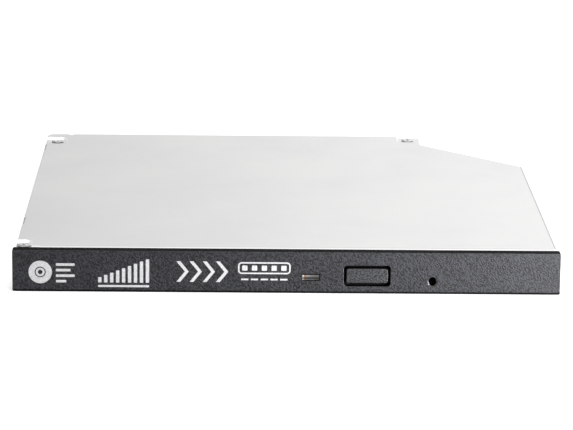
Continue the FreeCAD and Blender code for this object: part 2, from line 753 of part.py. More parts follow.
def tray_bottom_cover():
    sheet = lower_plan(tray_bottom_z - tray_sheet, tray_bottom_z)
    sheet = sheet.cut(box(sheet_right_x, half_width, bezel_front_y, rear_y, 0, tray_bottom_z + 1))
    sheet = sheet.cut(upright(9.0, 0, disc_y, 0, tray_bottom_z + 1))
    sheet = sheet.cut(box(cable_x[0] - cable_slot, cable_x[1] + cable_slot, cable_board_y - cable_slot,
                          cable_board_y + cable_slot, 0, tray_bottom_z + 1))
    for x, y in tray_bosses:
        sheet = sheet.cut(upright(sheet_screw[0] + fit, x, y, 0, tray_bottom_z + 1))
    return sheet.removeSplitter()


def tray_screws():
    screws = []
    for x, y in tray_bosses:
        head = upright(sheet_screw[0], x, y, tray_bottom_z - tray_sheet, tray_bottom_z)
        shank = upright(sheet_screw[1], x, y, tray_bottom_z, well_skin_z - 0.6)
        screws.append(fused(head, shank))
    return screws


# Main board, a segment of the disc's circle under the rear left of the tray
main_board_z = 3.0
main_board_chord = -35.5
chip_spots = [(-20.5, -46.0, 8.0), (-3.0, -47.0, 12.0), (15.5, -45.0, 8.0)]
chip_height = 1.0
cable_connectors = [(-30.5, -38.6), (32.0, -40.0)]


def main_board_posts():
    return [traverse_point(-12.5, -53.0), traverse_point(6.0, -38.0), traverse_point(26.0, -46.5)]


def main_board():
    board = upright(lower_radius - tray_wall - 0.4, 0, disc_y, main_board_z, main_board_z + board_sheet)
    board = board.common(on_traverse(box(-70, 70, -70, main_board_chord, 0, cover_top_z)))
    board = board.common(cavity(0.4, 0, cover_top_z))
    for x, y in main_board_posts():
        board = board.cut(upright(0.75, x, y, 0, cover_top_z))
    for x, y in tray_bosses:
        board = board.cut(upright(2.0, x, y, 0, cover_top_z))
    return board


def board_chips():
    z0 = main_board_z + board_sheet
    chips = []
    for x, y, size in chip_spots:
        chip = box(x - size / 2, x + size / 2, y - size / 2, y + size / 2, z0, z0 + chip_height)
        chips.append(on_traverse(chip))
    return chips


def board_connectors():
    z0 = main_board_z + board_sheet
    pieces = []
    for x, y in cable_connectors:
        body = box(x - 6.0, x + 6.0, y - 1.6, y + 1.6, z0, z0 + chip_height)
        slot = box(x - 5.2, x + 5.2, y - 2.0, y - 0.2, z0 + 0.3, z0 + 0.6)
        pieces.append(on_traverse(body.cut(slot)))
    return pieces


# Traverse unit
def traverse_frame():
    z0, z1 = frame_z
    x0, x1 = plate_reach["x"]
    y0, y1 = plate_reach["y"]
    frame = box(x0 + 2, x1 - 2, y0 + 2, y1 - 2, z0, z1)
    for (x, y), half in zip(damper_spots, damper_tabs):
        frame = frame.fuse(box(x - half, x + half, y - 4.0, y + 4.0, z0, z1))
    inner, outer = rod_span
    eye = rod_offset + 2.2
    near = rod_offset - 2.1
    window = box(inner + support_length + 0.3, outer - support_length - 0.3, -eye, eye, 0, 20)
    window = window.fuse(box(inner - 1.5, x1 - 4.8, -near, near, 0, 20))
    window = window.fuse(upright(rotor_radius + 1.0, 0, 0, 0, 20))
    window = window.fuse(box(inner + support_length + 0.3, screw_span[1] - 3.0, screw_offset - 2.0, 0, 0, 20))
    frame = frame.cut(window)
    # Blocks that hold the rods and the lead screw's outer end
    ends = (inner, outer - support_length)
    blocks = [(x, y) for x in ends for y in (-rod_offset, rod_offset)]
    blocks.append((screw_span[1] - support_length, screw_offset))
    for x, y in blocks:
        frame = frame.fuse(box(x, x + support_length, y - support_half, y + support_half, z0,
                               rod_z + rod_radius + support_roof))
    for y in (-rod_offset, rod_offset):
        frame = frame.cut(along_x(rod_radius + fit, inner - 1, outer + 1, y, rod_z))
    frame = frame.cut(along_x(screw_radius + 0.1, 0, screw_span[1] + 1, screw_offset, rod_z))
    mx0, mx1 = motor_span
    frame = frame.cut(box(mx0 - 0.1, mx1 + 1.0, screw_offset - 3.1, screw_offset + 3.1, 0, 20))
    for x, y in damper_spots:
        frame = frame.cut(upright(damper_waist, x, y, 0, 20))
    frame = on_traverse(frame).common(cavity(0.4, 0, cover_top_z))
    return frame.removeSplitter()


damper_waist = 1.9
damper_radius = 2.6
damper_bore = 0.95
motor_span = (-6.0, 5.0)
motor_z = (1.95, 5.6)


def dampers():
    z0, z1 = frame_z
    pieces = []
    for x, y in damper_spots:
        low = ring(damper_radius, damper_bore, x, y, z0 - 0.3, z0)
        waist = ring(damper_waist, damper_bore, x, y, z0, z1)
        high = ring(damper_radius, damper_bore, x, y, z1, z1 + 0.4)
        pieces.append(on_traverse(fused(low, waist, high)))
    return pieces


def damper_screws():
    z0 = frame_z[0] - 0.3
    pieces = []
    for x, y in damper_spots:
        head = upright(2.0, x, y, z0 - 0.4, z0)
        shank = upright(0.8, x, y, z0, well_skin_z - 0.2)
        pieces.append(on_traverse(fused(head, shank)))
    return pieces


def traverse_cover():
    z0 = well_floor_z - plate_sheet
    plate = traverse_window(fit, z0, well_floor_z)
    plate = plate.common(cavity(1.2 + fit, 0, cover_top_z))
    slot_end = rod_outer - 2.5
    slot = box(0, slot_end, -7.6, 7.6, 0, 20).fuse(upright(7.6, slot_end, 0, 0, 20))
    slot = slot.fuse(upright(rotor_radius + 1.3, 0, 0, 0, 20))
    plate = plate.cut(on_traverse(slot))
    # Pressed stiffening slots beside the lens path
    for y in (-13.5, 14.5):
        plate = plate.cut(on_traverse(rounded_box(30.0, 48.0, y - 1.2, y + 1.2, z0 + 0.2, 20, 1.1)))
    for x, y in plate_screw_spots:
        plate = plate.cut(on_traverse(upright(0.8, x, y, 0, 20)))
    return plate.removeSplitter()


plate_screw_spots = [(-20.0, 0.0), (20.0, -26.5), (30.0, 20.8)]


def guide_rod(offset):
    return on_traverse(along_x(rod_radius, rod_span[0], rod_span[1], offset, rod_z))


def lead_screw():
    return on_traverse(along_x(screw_radius, screw_span[0], screw_span[1], screw_offset, rod_z))


def sled_motor():
    x0, x1 = motor_span
    can = along_x(3.0, x0, x1, screw_offset, (motor_z[0] + motor_z[1]) / 2)
    can = can.common(box(x0, x1, screw_offset - 3, screw_offset + 3, motor_z[0], motor_z[1]))
    flange = box(x1, x1 + 0.6, screw_offset - 2.9, screw_offset + 2.9, motor_z[0] + 0.1, motor_z[1] - 0.1)
    return on_traverse(fused(can, flange))


# Sled with the optical pickup
sled_z = (2.4, 5.2)
sled_inner = 13.5
sled_outer = 35.0
sled_fit = 0.08
eye_span = (13.5, 27.5)
lens_pocket = (5.4, 4.0)
pickup_sheet = 0.25
rack_span = (14.0, 20.0)


def pickup_base():
    z0, z1 = sled_z
    half = rod_offset - 2.5
    body = prism([
        (sled_inner - 2, -half),
        (sled_outer - 6, -half),
        (sled_outer, -half + 4.0),
        (sled_outer, half - 4.0),
        (sled_outer - 6, half),
        (sled_inner - 2, half),
    ], z0, z1)
    ex0, ex1 = eye_span
    eyes = box(ex0, ex1, -rod_offset - 1.7, rod_offset + 1.7, z0, z1)
    body = body.fuse(eyes)
    body = body.cut(upright(rotor_radius + 0.6, 0, 0, 0, 20))
    body = body.cut(box(0, sled_inner, -40, 40, 0, 20))
    bore = rod_radius + sled_fit
    body = body.cut(along_x(bore, 0, 40, -rod_offset, rod_z))
    body = body.cut(box(0, 40, rod_offset - 1.2, rod_offset + 3, rod_z - bore, rod_z + bore))
    # Cut-outs between the bearing eyes, and the pocket for the lens holder
    body = body.cut(box(ex0 + 3.5, ex1 - 3.5, -rod_offset - 3, -rod_offset + 1.6, 0, 20))
    px, py = lens_pocket
    body = body.cut(rounded_box(lens_rest - px, lens_rest + px, -py, py, z0 + 0.8, 20, 0.8))
    body = body.cut(box(sled_outer - 4.5, sled_outer - 1.3, -4.6, 4.6, z0 + 0.8, 20))
    return on_traverse(body.removeSplitter())


def pickup_cover():
    z0 = sled_z[1]
    half = rod_offset - 3.0
    cover = prism([
        (sled_inner + 1.0, -half),
        (sled_outer - 6.4, -half),
        (sled_outer - 1.0, -half + 4.0),
        (sled_outer - 1.0, half - 4.0),
        (sled_outer - 6.4, half),
        (sled_inner + 1.0, half),
    ], z0, z0 + pickup_sheet)
    cover = cover.cut(upright(rotor_radius + 1.0, 0, 0, 0, 20))
    px, py = lens_pocket
    cover = cover.cut(rounded_box(lens_rest - px, lens_rest + px, -py, py, 0, 20, 0.8))
    return on_traverse(cover)


def lens_holder():
    z0 = sled_z[0] + 0.8 + 0.6
    holder = rounded_box(lens_rest - 4.6, lens_rest + 4.6, -3.0, 3.0, z0, 5.3, 0.7)
    holder = holder.fuse(upright(2.7, lens_rest, 0, z0, 5.7))
    holder = holder.cut(upright(1.9, lens_rest, 0, 4.7, 6))
    holder = holder.cut(upright(1.3, lens_rest, 0, 0, 6))
    return on_traverse(holder.removeSplitter())


def objective_lens():
    barrel = upright(1.85, lens_rest, 0, 4.7, 5.5)
    dome = Part.makeSphere(3.2, Vector(lens_rest, 0, 5.5 - 2.6))
    dome = dome.common(upright(1.85, lens_rest, 0, 5.5, 6.2))
    return on_traverse(fused(barrel, dome))


def laser_unit():
    return on_traverse(rounded_box(sled_outer - 4.4, sled_outer - 1.4, -4.4, 4.4, sled_z[0] + 0.8, 5.0, 0.5))


def sled_rack():
    x0, x1 = rack_span
    side = -rod_offset - 1.7
    arm = box(x0, x1, screw_offset - 1.0, side + 2.0, sled_z[1], sled_z[1] + 0.3)
    block = box(x0 + 0.5, x1 - 0.5, screw_offset + screw_radius + running, side - 0.1, 3.2, sled_z[1])
    return on_traverse(fused(arm, block))


# Spindle
spindle_base_z = (frame_z[0] - 0.6, frame_z[0])
rotor_z = (3.9, 6.5)
bearing_radius = 2.0
shaft_radius = 0.75
ball_radius = 0.9
ball_height = 0.95
ball_orbit = 6.75


def spindle_base():
    z0, z1 = spindle_base_z
    plate = rounded_box(-21.0, 6.0, -12.0, 12.0, z0, z1, 2.0)
    disc = upright(rotor_radius - 0.7, 0, 0, z0, z1)
    tube = upright(bearing_radius, 0, 0, z0, rotor_z[1] - 1.6)
    arm = rounded_box(-21.0, -13.5, -15.5, 15.5, z0, z1, 2.0)
    base = fused(plate, disc, arm, tube)
    base = base.cut(upright(shaft_radius + fit, 0, 0, z0 + 0.3, 20))
    return on_traverse(base)


def spindle_stator():
    z0 = spindle_base_z[1] + 0.5
    stator = ring(4.2, bearing_radius + fit, 0, 0, z0 - 0.5, z0 + 1.4)
    # Nine wound poles round the core
    for i in range(9):
        pole = box(3.8, 10.4, -1.1, 1.1, z0, z0 + 1.2)
        tip = box(9.4, 10.4, -2.6, 2.6, z0 + 0.2, z0 + 1.0)
        tooth = pole.fuse(tip)
        tooth.rotate(Vector(0, 0, 0), Vector(0, 0, 1), 40.0 * i)
        stator = stator.fuse(tooth)
    return on_traverse(stator.removeSplitter())


def spindle_shaft():
    return upright(shaft_radius, 0, disc_y, spindle_base_z[0] + 0.35, rotor_z[1])


def rotor_magnet():
    return ring(rotor_radius - 0.8, rotor_radius - 2.0, 0, disc_y, rotor_z[0], rotor_z[1] - 1.3)


def turntable():
    z0, z1 = rotor_z
    wall = ring(rotor_radius, rotor_radius - 0.8, 0, disc_y, z0, z1)
    top = upright(rotor_radius, 0, disc_y, z1 - 1.3, z1)
    hub = upright(hub_radius, 0, disc_y, z1, disc_seat_z + hub_rise)
    edge = [e for e in hub.Edges if e.BoundBox.ZMin > disc_seat_z + hub_rise - 0.01]
    hub = hub.makeChamfer(0.7, edge)
    table = fused(wall, top, hub)
    table = table.cut(upright(shaft_radius, 0, disc_y, 0, z1))
    table = table.cut(upright(1.6, 0, disc_y, disc_seat_z + hub_rise - 0.6, 20))
    # Pockets for the three chuck balls
    half = ball_radius + 0.1
    for i in range(3):
        pocket = box(ball_orbit - 2.6, hub_radius + 1, -half, half, disc_seat_z + ball_height - half,
                     disc_seat_z + ball_height + half)
        pocket.rotate(Vector(0, 0, 0), Vector(0, 0, 1), 90.0 + 120.0 * i)
        pocket.translate(Vector(0, disc_y, 0))
        table = table.cut(pocket)
    return table.removeSplitter()


def turntable_rubber():
    return ring(rotor_radius - 0.3, rotor_radius - 2.8, 0, disc_y, rotor_z[1], disc_seat_z)


def chuck_ball(index):
    turn = math.radians(90.0 + 120.0 * index)
    x, y = ball_orbit * math.cos(turn), disc_y + ball_orbit * math.sin(turn)
    return Part.makeSphere(ball_radius, Vector(x, y, disc_seat_z + ball_height))


# Latch, drawn holding the lock pin and then turned to its released place
def latch_hook():
    px, py = latch_pivot
    catch_y = lock_pin[1] + lock_pin_radius + running
    side_x = lock_pin[0] - lock_pin_radius - running
    hook = prism([
        (px - 1.5, py - 0.9),
        (px + 1.6, py - 1.8),
        (pinhole_x + 0.7, py - 3.2),
        (pinhole_x + 0.9, py - 1.6),
        (px + 2.1, py + 0.4),
        (side_x - 0.2, catch_y - 2.6),
        (side_x - 0.2, catch_y),
        (lock_pin[0] + lock_pin_radius, catch_y),
        (lock_pin[0] + lock_pin_radius, catch_y + 1.6),
        (px + 2.1, catch_y + 1.6),
        (px + 1.7, catch_y - 1.8),
        (px - 1.3, py + 1.0),
    ], latch_z[0], latch_z[1])
    hook = hook.cut(upright(1.0, px, py, 0, 20))
    hook.rotate(Vector(px, py, 0), Vector(0, 0, 1), latch_release)
    return hook


def solenoid():
    coil = box(20.0, 28.6, lock_pin[1] - 3.4, lock_pin[1] + 2.6, front_board_z, well_skin_z)
    yoke_cut = box(21.0, 27.6, lock_pin[1] - 4, lock_pin[1] - 2.8, 0, 20)
    yoke_back = box(21.0, 27.6, lock_pin[1] + 2.0, lock_pin[1] + 4, 0, 20)
    body = coil.cut(yoke_cut).cut(yoke_back)
    return body.cut(along_x(plunger_radius + 0.1, 20.8, 30, lock_pin[1] - 0.4, 3.4))


def solenoid_plunger():
    rod = along_x(plunger_radius, 22.0, plunger_tip_x, lock_pin[1] - 0.4, 3.4)
    collar = along_x(plunger_radius + 0.3, 29.0, 29.6, lock_pin[1] - 0.4, 3.4)
    return fused(rod, collar)


# Eject pusher that starts the drawer on its way
pusher_x = 24.0
pusher_z = 3.4
pusher_radius = 1.1
pusher_guide_y = case_rear_y - 33.3
pusher_guide_length = 2.0
pusher_length = 21.9


def eject_pusher():
    tip_y = case_rear_y - running
    tail_y = tip_y - pusher_length
    rod = along_y(pusher_radius - 0.1, tail_y, tip_y, pusher_x, pusher_z)
    collar = along_y(pusher_radius + 0.4, tail_y, tail_y + 1.0, pusher_x, pusher_z)
    return fused(rod, collar)


def eject_spring():
    # A helix of wire: each ring of corners stands across the wire, and triangles join ring to ring
    y0 = pusher_guide_y + pusher_guide_length
    y1 = case_rear_y - running - pusher_length
    wire = 0.18
    turns = 6
    steps = 10
    sides = 6
    length = y1 - y0 - 2 * wire
    rings = []
    for i in range(turns * steps + 1):
        turn = 2 * math.pi * i / steps
        along = y0 + wire + length * i / (turns * steps)
        corners = []
        for k in range(sides):
            across = 2 * math.pi * k / sides
            radius = pusher_radius + 0.3 + wire * math.cos(across)
            corners.append(Vector(pusher_x + radius * math.cos(turn), along + wire * math.sin(across),
                                  pusher_z + radius * math.sin(turn)))
        rings.append(corners)
    faces = [Part.Face(Part.makePolygon(end + end[:1])) for end in (rings[0], rings[-1])]
    for first, second in zip(rings, rings[1:]):
        for k in range(sides):
            a, b = first[k], first[(k + 1) % sides]
            c, d = second[(k + 1) % sides], second[k]
            faces.append(Part.Face(Part.makePolygon([a, b, c, a])))
            faces.append(Part.Face(Part.makePolygon([a, c, d, a])))
    solid = Part.Solid(Part.Shell(faces))
    if solid.Volume < 0:
        solid.reverse()
    return solid


save("bottom_case", bottom_case())
save("lock_pin", lock_pin_piece())
save("top_cover", top_cover())
save_group("cover_screws", cover_screws())
for side in ("left", "right"):
    save("rail_guide_" + side, rail_guide(side))
    save("slide_rail_" + side, slide_rail(side))
save("connector_board", connector_board())
save("connector_housing", connector_housing())
save_group("connector_contacts", connector_contacts())
save("flex_cable", flex_cable())
save("flex_loop", flex_loop())
save("front_bezel", front_bezel())
save("eject_button", eject_button())
save("light_guide", light_guide())
save("front_board", front_board())
save("eject_switch", eject_switch())
save("lamp", lamp())
save("tray", tray())
save("tray_bottom_cover", tray_bottom_cover())
save_group("tray_screws", tray_screws())
save("main_board", main_board())
save_group("board_chips", board_chips())
save_group("board_connectors", board_connectors())
save("traverse_frame", traverse_frame())
save_group("dampers", dampers())
save_group("damper_screws", damper_screws())
save("traverse_cover", traverse_cover())
save("guide_rod_main", guide_rod(-rod_offset))
save("guide_rod_sub", guide_rod(rod_offset))
save("lead_screw", lead_screw())
save("sled_motor", sled_motor())
save("pickup_base", pickup_base())
save("pickup_cover", pickup_cover())
save("lens_holder", lens_holder())
save("objective_lens", objective_lens())
save("laser_unit", laser_unit())
save("sled_rack", sled_rack())
save("spindle_base", spindle_base())
save("spindle_stator", spindle_stator())
save("spindle_shaft", spindle_shaft())
save("rotor_magnet", rotor_magnet())
save("turntable", turntable())
save("turntable_rubber", turntable_rubber())
for i in range(3):
    save("chuck_ball_" + str(i + 1), chuck_ball(i))
save("latch_hook", latch_hook())
save("solenoid", solenoid())
save("solenoid_plunger", solenoid_plunger())
save("eject_pusher", eject_pusher())
save("eject_spring", eject_spring())
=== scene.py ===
import json
import math

import bmesh
import bpy
import numpy as np
from mathutils import Matrix, Vector


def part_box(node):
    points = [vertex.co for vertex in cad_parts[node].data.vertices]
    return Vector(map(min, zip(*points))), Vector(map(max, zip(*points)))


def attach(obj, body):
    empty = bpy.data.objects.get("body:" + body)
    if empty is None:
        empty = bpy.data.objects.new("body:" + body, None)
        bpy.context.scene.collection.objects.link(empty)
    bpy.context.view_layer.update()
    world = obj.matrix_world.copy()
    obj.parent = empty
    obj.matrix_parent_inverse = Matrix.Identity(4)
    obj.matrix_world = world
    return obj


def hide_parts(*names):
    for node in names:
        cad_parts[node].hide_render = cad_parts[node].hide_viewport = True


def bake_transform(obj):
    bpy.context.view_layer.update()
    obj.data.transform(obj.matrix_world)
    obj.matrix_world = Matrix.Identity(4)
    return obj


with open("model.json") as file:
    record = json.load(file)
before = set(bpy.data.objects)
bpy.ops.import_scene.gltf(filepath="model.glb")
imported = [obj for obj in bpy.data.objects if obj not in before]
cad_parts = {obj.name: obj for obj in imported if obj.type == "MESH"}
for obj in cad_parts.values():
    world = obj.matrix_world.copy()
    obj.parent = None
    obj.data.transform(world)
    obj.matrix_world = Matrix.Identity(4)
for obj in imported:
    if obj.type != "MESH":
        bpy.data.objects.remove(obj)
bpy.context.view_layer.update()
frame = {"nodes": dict(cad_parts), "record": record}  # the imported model, in metres, is the fixed frame
nodes = frame["nodes"]
mm = 0.001
print("frame:", len(nodes), "nodes")

# Settings that several nodes share. A Mix node's sockets go by number: 0 is the share; 2 and 3 are the
# numbers that it mixes, with output 0; 6 and 7 are the colours, with output 2
colours = {"data_type": "RGBA"}
softly = {"interpolation_type": "SMOOTHSTEP"}
noiseSpan = (0.3, 0.7)  # what a noise pattern mostly lies between


# Colours and shader nodes
def linearColour(hexText):
    # sRGB hex to the linear values that the shaders take
    channels = np.array([int(hexText[i:i + 2], 16) for i in (1, 3, 5)]) / 255
    linear = np.where(channels <= 0.04045, channels / 12.92, ((channels + 0.055) / 1.055) ** 2.4)
    return (*[float(c) for c in linear], 1.0)


def perMetre(sizeMm):
    # the scale that gives a pattern features of this size
    return 1000 / sizeMm


def span(low, high, lowest=0.0, highest=1.0):
    # the values of a MapRange node: what comes in from low to high goes out from lowest to highest
    return {"From Min": low, "From Max": high, "To Min": lowest, "To Max": highest}


def addNode(tree, kind, settings=None, values=None, links=None):
    # one shader node with its settings, its socket values and what is plugged into it
    made = tree.nodes.new("ShaderNode" + kind)
    for name, value in (settings or {}).items():
        setattr(made, name, value)
    for name, value in (values or {}).items():
        made.inputs[name].default_value = value
    for name, output in (links or {}).items():
        tree.links.new(output, made.inputs[name])
    return made


def startMaterial(name, values):
    # a shader with its fixed values on its own sockets, and the object's coordinates
    made = bpy.data.materials.new(name)
    made.use_nodes = True
    tree = made.node_tree
    tree.nodes.clear()
    shader = addNode(tree, "BsdfPrincipled", values=values)
    addNode(tree, "OutputMaterial", links={"Surface": shader.outputs[0]})
    place = addNode(tree, "TexCoord").outputs["Object"]
    return made, tree, shader, place


def twoTones(tree, fac, dark, light, low=0.35, high=0.65):
    # a pattern's grey becomes a colour between two tones
    spread = addNode(tree, "MapRange", values=span(low, high), links={"Value": fac})
    mixed = addNode(tree, "Mix", colours, {6: linearColour(dark), 7: linearColour(light)},
                    {0: spread.outputs[0]})
    return mixed.outputs[2]


def finishSkin(tree, shader, tone, roughness, pattern, depth, radius=None, sunk=False):
    # colour, roughness and the pattern's relief; with a radius, edges catch the light as if rounded
    tree.links.new(tone, shader.inputs["Base Color"])
    tree.links.new(roughness, shader.inputs["Roughness"])
    bump = addNode(tree, "Bump", {"invert": sunk}, {"Strength": 1.0, "Distance": depth * mm},
                   {"Height": pattern})
    if radius:
        worn = addNode(tree, "Bevel", {"samples": 4}, {"Radius": radius * mm}).outputs[0]
        tree.links.new(worn, bump.inputs["Normal"])
    tree.links.new(bump.outputs[0], shader.inputs["Normal"])


# Moulded plastics: the skin copies the tool's surface, so it is dull, with glints where the grain turns
skin = {
    "edgeRadius": 0.12,  # moulded edges are never sharp, mm
    # masks, each from none to full
    "shut": (0.84, 0.50),  # share of open sky round a point, which a groove lacks
    "level": (0.45, 0.80), "aside": (0.95, 0.70),  # how far a face looks up or down, and forward or back
    "edge": (0.15, 0.40),  # the same as the last, where a side begins to round over to the front
    "footBand": 0.2,  # over how much height the dark foot ends, mm
    "dullShine": 0.02, "edgeShine": 1.0, "edgeRoughness": 0.28,  # off the front face, and on burnished edges
}


def mouldedPlastic(name, look):
    specular = look.get("specular", 0.5)
    made, tree, shader, place = startMaterial(name, {"IOR": 1.53, "Specular IOR Level": specular})
    turn, stretch = look.get("streak", (0, 1))  # the grain's slant, degrees, and its length over its width
    slanted = addNode(tree, "Mapping", {"vector_type": "TEXTURE"}, {
        "Rotation": (0, math.radians(turn), 0), "Scale": (stretch, 1, 1)}, {"Vector": place}).outputs[0]
    grain = addNode(tree, "TexNoise", None, {
        "Scale": perMetre(look["grain"]), "Detail": 2.5, "Roughness": 0.55},
        {"Vector": slanted}).outputs["Fac"]
    flow = addNode(tree, "TexNoise", None, {"Scale": perMetre(look["flow"]), "Detail": 2.0},
                   {"Vector": place}).outputs["Fac"]
    # both patterns average 0.5, so their sum is spread about that middle, as far as the grain is strong
    share = look["grainShare"]
    both = addNode(tree, "Math", {"operation": "MULTIPLY_ADD"}, {1: share}, {0: grain, 2: flow}).outputs[0]
    middle, reach = 0.5 + 0.5 * share, 0.05 * share
    tone = twoTones(tree, both, look["dark"], look["light"], middle - reach, middle + reach)
    rough = addNode(tree, "MapRange", None, span(*noiseSpan, *look["roughness"]), {"Value": grain}).outputs[0]
    if "paintedShade" in look:
        # painted shade: only the front face keeps the grain's colour; the sides and the grooves are painted
        # near black as painted shade, with a painted shadow along the foot; faces that look up or down and
        # these painted places lose their shine; the rounded edges are burnished by the tool's parting, so a
        # lamp from the side draws a line on them
        turned = addNode(tree, "VectorMath", {"operation": "ABSOLUTE"}, None,
                         {0: addNode(tree, "NewGeometry").outputs["Normal"]}).outputs[0]
        facing = addNode(tree, "SeparateXYZ", links={"Vector": turned}).outputs
        openness = addNode(tree, "AmbientOcclusion", {"samples": 8},
                           {"Distance": look["crevice"] * mm}).outputs["AO"]
        height = addNode(tree, "SeparateXYZ", links={"Vector": place}).outputs["Z"]
        foot = (look["foot"] * mm, (look["foot"] - skin["footBand"]) * mm)
        sources = {"shut": (openness, skin["shut"]), "foot": (height, foot),
                   "level": (facing["Z"], skin["level"]), "aside": (facing["Y"], skin["aside"]),
                   "edge": (facing["Y"], skin["edge"])}
        masks = {mask: addNode(tree, "MapRange", None, span(*ends), {"Value": source}).outputs[0]
                 for mask, (source, ends) in sources.items()}
        for mask, how, first, second in (
                ("edge", "MULTIPLY", "aside", "edge"), ("footAndGrooveShade", "MAXIMUM", "foot", "shut"),
                ("paintedShadeMask", "MAXIMUM", "aside", "footAndGrooveShade"), ("dull", "MAXIMUM", "level", "footAndGrooveShade")):
            masks[mask] = addNode(tree, "Math", {"operation": how}, None,
                                  {0: masks[first], 1: masks[second]}).outputs[0]
        tone = addNode(tree, "Mix", colours, {7: linearColour(look["paintedShade"])},
                       {0: masks["paintedShadeMask"], 6: tone}).outputs[2]
        bright = addNode(tree, "MapRange", None, span(0.0, 1.0, specular, skin["edgeShine"]),
                         {"Value": masks["edge"]}).outputs[0]
        shine = addNode(tree, "Mix", None, {3: skin["dullShine"]}, {0: masks["dull"], 2: bright}).outputs[0]
        tree.links.new(shine, shader.inputs["Specular IOR Level"])
        rough = addNode(tree, "Mix", None, {3: skin["edgeRoughness"]},
                        {0: masks["edge"], 2: rough}).outputs[0]
    finishSkin(tree, shader, tone, rough, grain, look["depth"], skin["edgeRadius"])
    return made


# Sheet and turned metals: faint lines, stretched along Y where the sheet was rolled that way, and a soft
# cloudiness
sheet = {
    "edgeRadius": 0.05,  # mm
    # masks, each from none to full: a slope looks up less than a flat sheet and more than a wall
    "slope": ((0.92, 0.80), (0.2, 0.4)),
    "shut": (0.80, 0.45),  # share of open sky, which a recess lacks
}


def sheetMetal(name, look):
    made, tree, shader, place = startMaterial(name, {"Metallic": look.get("metallic", 1.0)})
    rolled = addNode(tree, "Mapping", None, {"Scale": (1, 1 / look.get("stretch", 1), 1)}, {"Vector": place})
    lines = addNode(tree, "TexNoise", None, {
        "Scale": perMetre(look["line"]), "Detail": 4.0, "Roughness": 0.6},
        {"Vector": rolled.outputs[0]}).outputs["Fac"]
    cloud = addNode(tree, "TexNoise", None, {"Scale": perMetre(look["cloud"]), "Detail": 3.0},
                    {"Vector": place}).outputs["Fac"]
    tone = twoTones(tree, cloud, look["dark"], look["light"])
    masks = []
    if "drawn" in look:
        # painted highlight: the slopes that the die has drawn into the sheet are painted white
        upward = addNode(tree, "SeparateXYZ", links={
            "Vector": addNode(tree, "NewGeometry").outputs["True Normal"]}).outputs["Z"]
        less, more = [addNode(tree, "MapRange", None, span(*ends), {"Value": upward}).outputs[0]
                      for ends in sheet["slope"]]
        slope = addNode(tree, "Math", {"operation": "MULTIPLY"}, None, {0: less, 1: more}).outputs[0]
        masks.append((slope, look["drawn"]))
    axes = addNode(tree, "SeparateXYZ", links={"Vector": place})
    for axis, outside, inside, shade in look.get("bends", []):
        # painted light where the sheet is bent down: a painted highlight along the front bend, and a painted
        # darker line along the side bend
        bent = addNode(tree, "MapRange", softly, span(inside * mm, outside * mm),
                       {"Value": axes.outputs[axis]})
        masks.append((bent.outputs[0], shade))
    if "recess" in look:
        # painted shade darkens the cross recess and the place under the head's rim
        reach, shade = look["recess"]
        openness = addNode(tree, "AmbientOcclusion", {"samples": 8}, {"Distance": reach * mm}).outputs["AO"]
        shut = addNode(tree, "MapRange", None, span(*sheet["shut"]), {"Value": openness})
        masks.append((shut.outputs[0], shade))
    for mask, shade in masks:
        tone = addNode(tree, "Mix", colours, {7: linearColour(shade)}, {0: mask, 6: tone}).outputs[2]
    rough = addNode(tree, "MapRange", None, span(*noiseSpan, *look["roughness"]), {"Value": lines}).outputs[0]
    finishSkin(tree, shader, tone, rough, lines, look["depth"], sheet["edgeRadius"])
    return made


def crystalZinc(name, look):
    # electroplated zinc: patches of crystals, each turned a little otherwise, so that it glitters softly
    made, tree, shader, place = startMaterial(name, {"Metallic": 1.0})
    crystals = addNode(tree, "TexVoronoi", None, {"Scale": perMetre(look["crystal"])}, {"Vector": place})
    grey = addNode(tree, "SeparateColor", links={"Color": crystals.outputs["Color"]}).outputs[0]
    lines = addNode(tree, "TexNoise", None, {"Scale": perMetre(look["line"]), "Detail": 3.0},
                    {"Vector": place}).outputs["Fac"]
    tone = twoTones(tree, grey, look["dark"], look["light"], 0.0, 1.0)
    rough = addNode(tree, "MapRange", None, span(0.0, 1.0, *look["roughness"]), {"Value": grey}).outputs[0]
    finishSkin(tree, shader, tone, rough, lines, look["depth"])
    return made


# What each slot is made of, sizes in mm. Grain, rolling lines and crystals of the real ones are mostly under
# 0.1 mm, too fine to show, so they are drawn several times as coarse, and the bezel's pits deeper too
finishes = {}

# ABS from a spark-eroded tool: near black and dull, with a glitter of short slanting glints. Its sides and
# grooves are painted near black as painted shade, with a painted shadow along its foot; crevice is how far a
# groove's painted shade reaches, and the foot value how high the painted shadow reaches
finishes["bezel_plastic"] = mouldedPlastic("erodedGrainAbs", {
    "grain": 0.30, "flow": 25.0, "grainShare": 16.0, "dark": "#030304", "light": "#202125",
    "roughness": (0.46, 0.70), "depth": 0.20, "streak": (40, 1.6), "specular": 0.17, "paintedShade": "#050506",
    "crevice": 1.2, "foot": 0.6})
# the same ABS from a tool of its own: a shade lighter, so the button stands out from the bezel; it gets the
# same painted shade on its sides and grooves and the same painted shadow along its foot
finishes["button_plastic"] = mouldedPlastic("erodedGrainButton", {
    "grain": 0.30, "flow": 12.0, "grainShare": 16.0, "dark": "#040405", "light": "#27282b",
    "roughness": (0.46, 0.68), "depth": 0.20, "streak": (40, 1.6), "specular": 0.18, "paintedShade": "#050506",
    "crevice": 1.2, "foot": 0.6})
# ABS with a fine matt grain: an even, soft black that the disc well's curves shade
finishes["tray_plastic"] = mouldedPlastic("fineMattAbsTray", {
    "grain": 0.22, "flow": 12.0, "grainShare": 0.8, "dark": "#131314", "light": "#1f1f21",
    "roughness": (0.38, 0.55), "depth": 0.010})
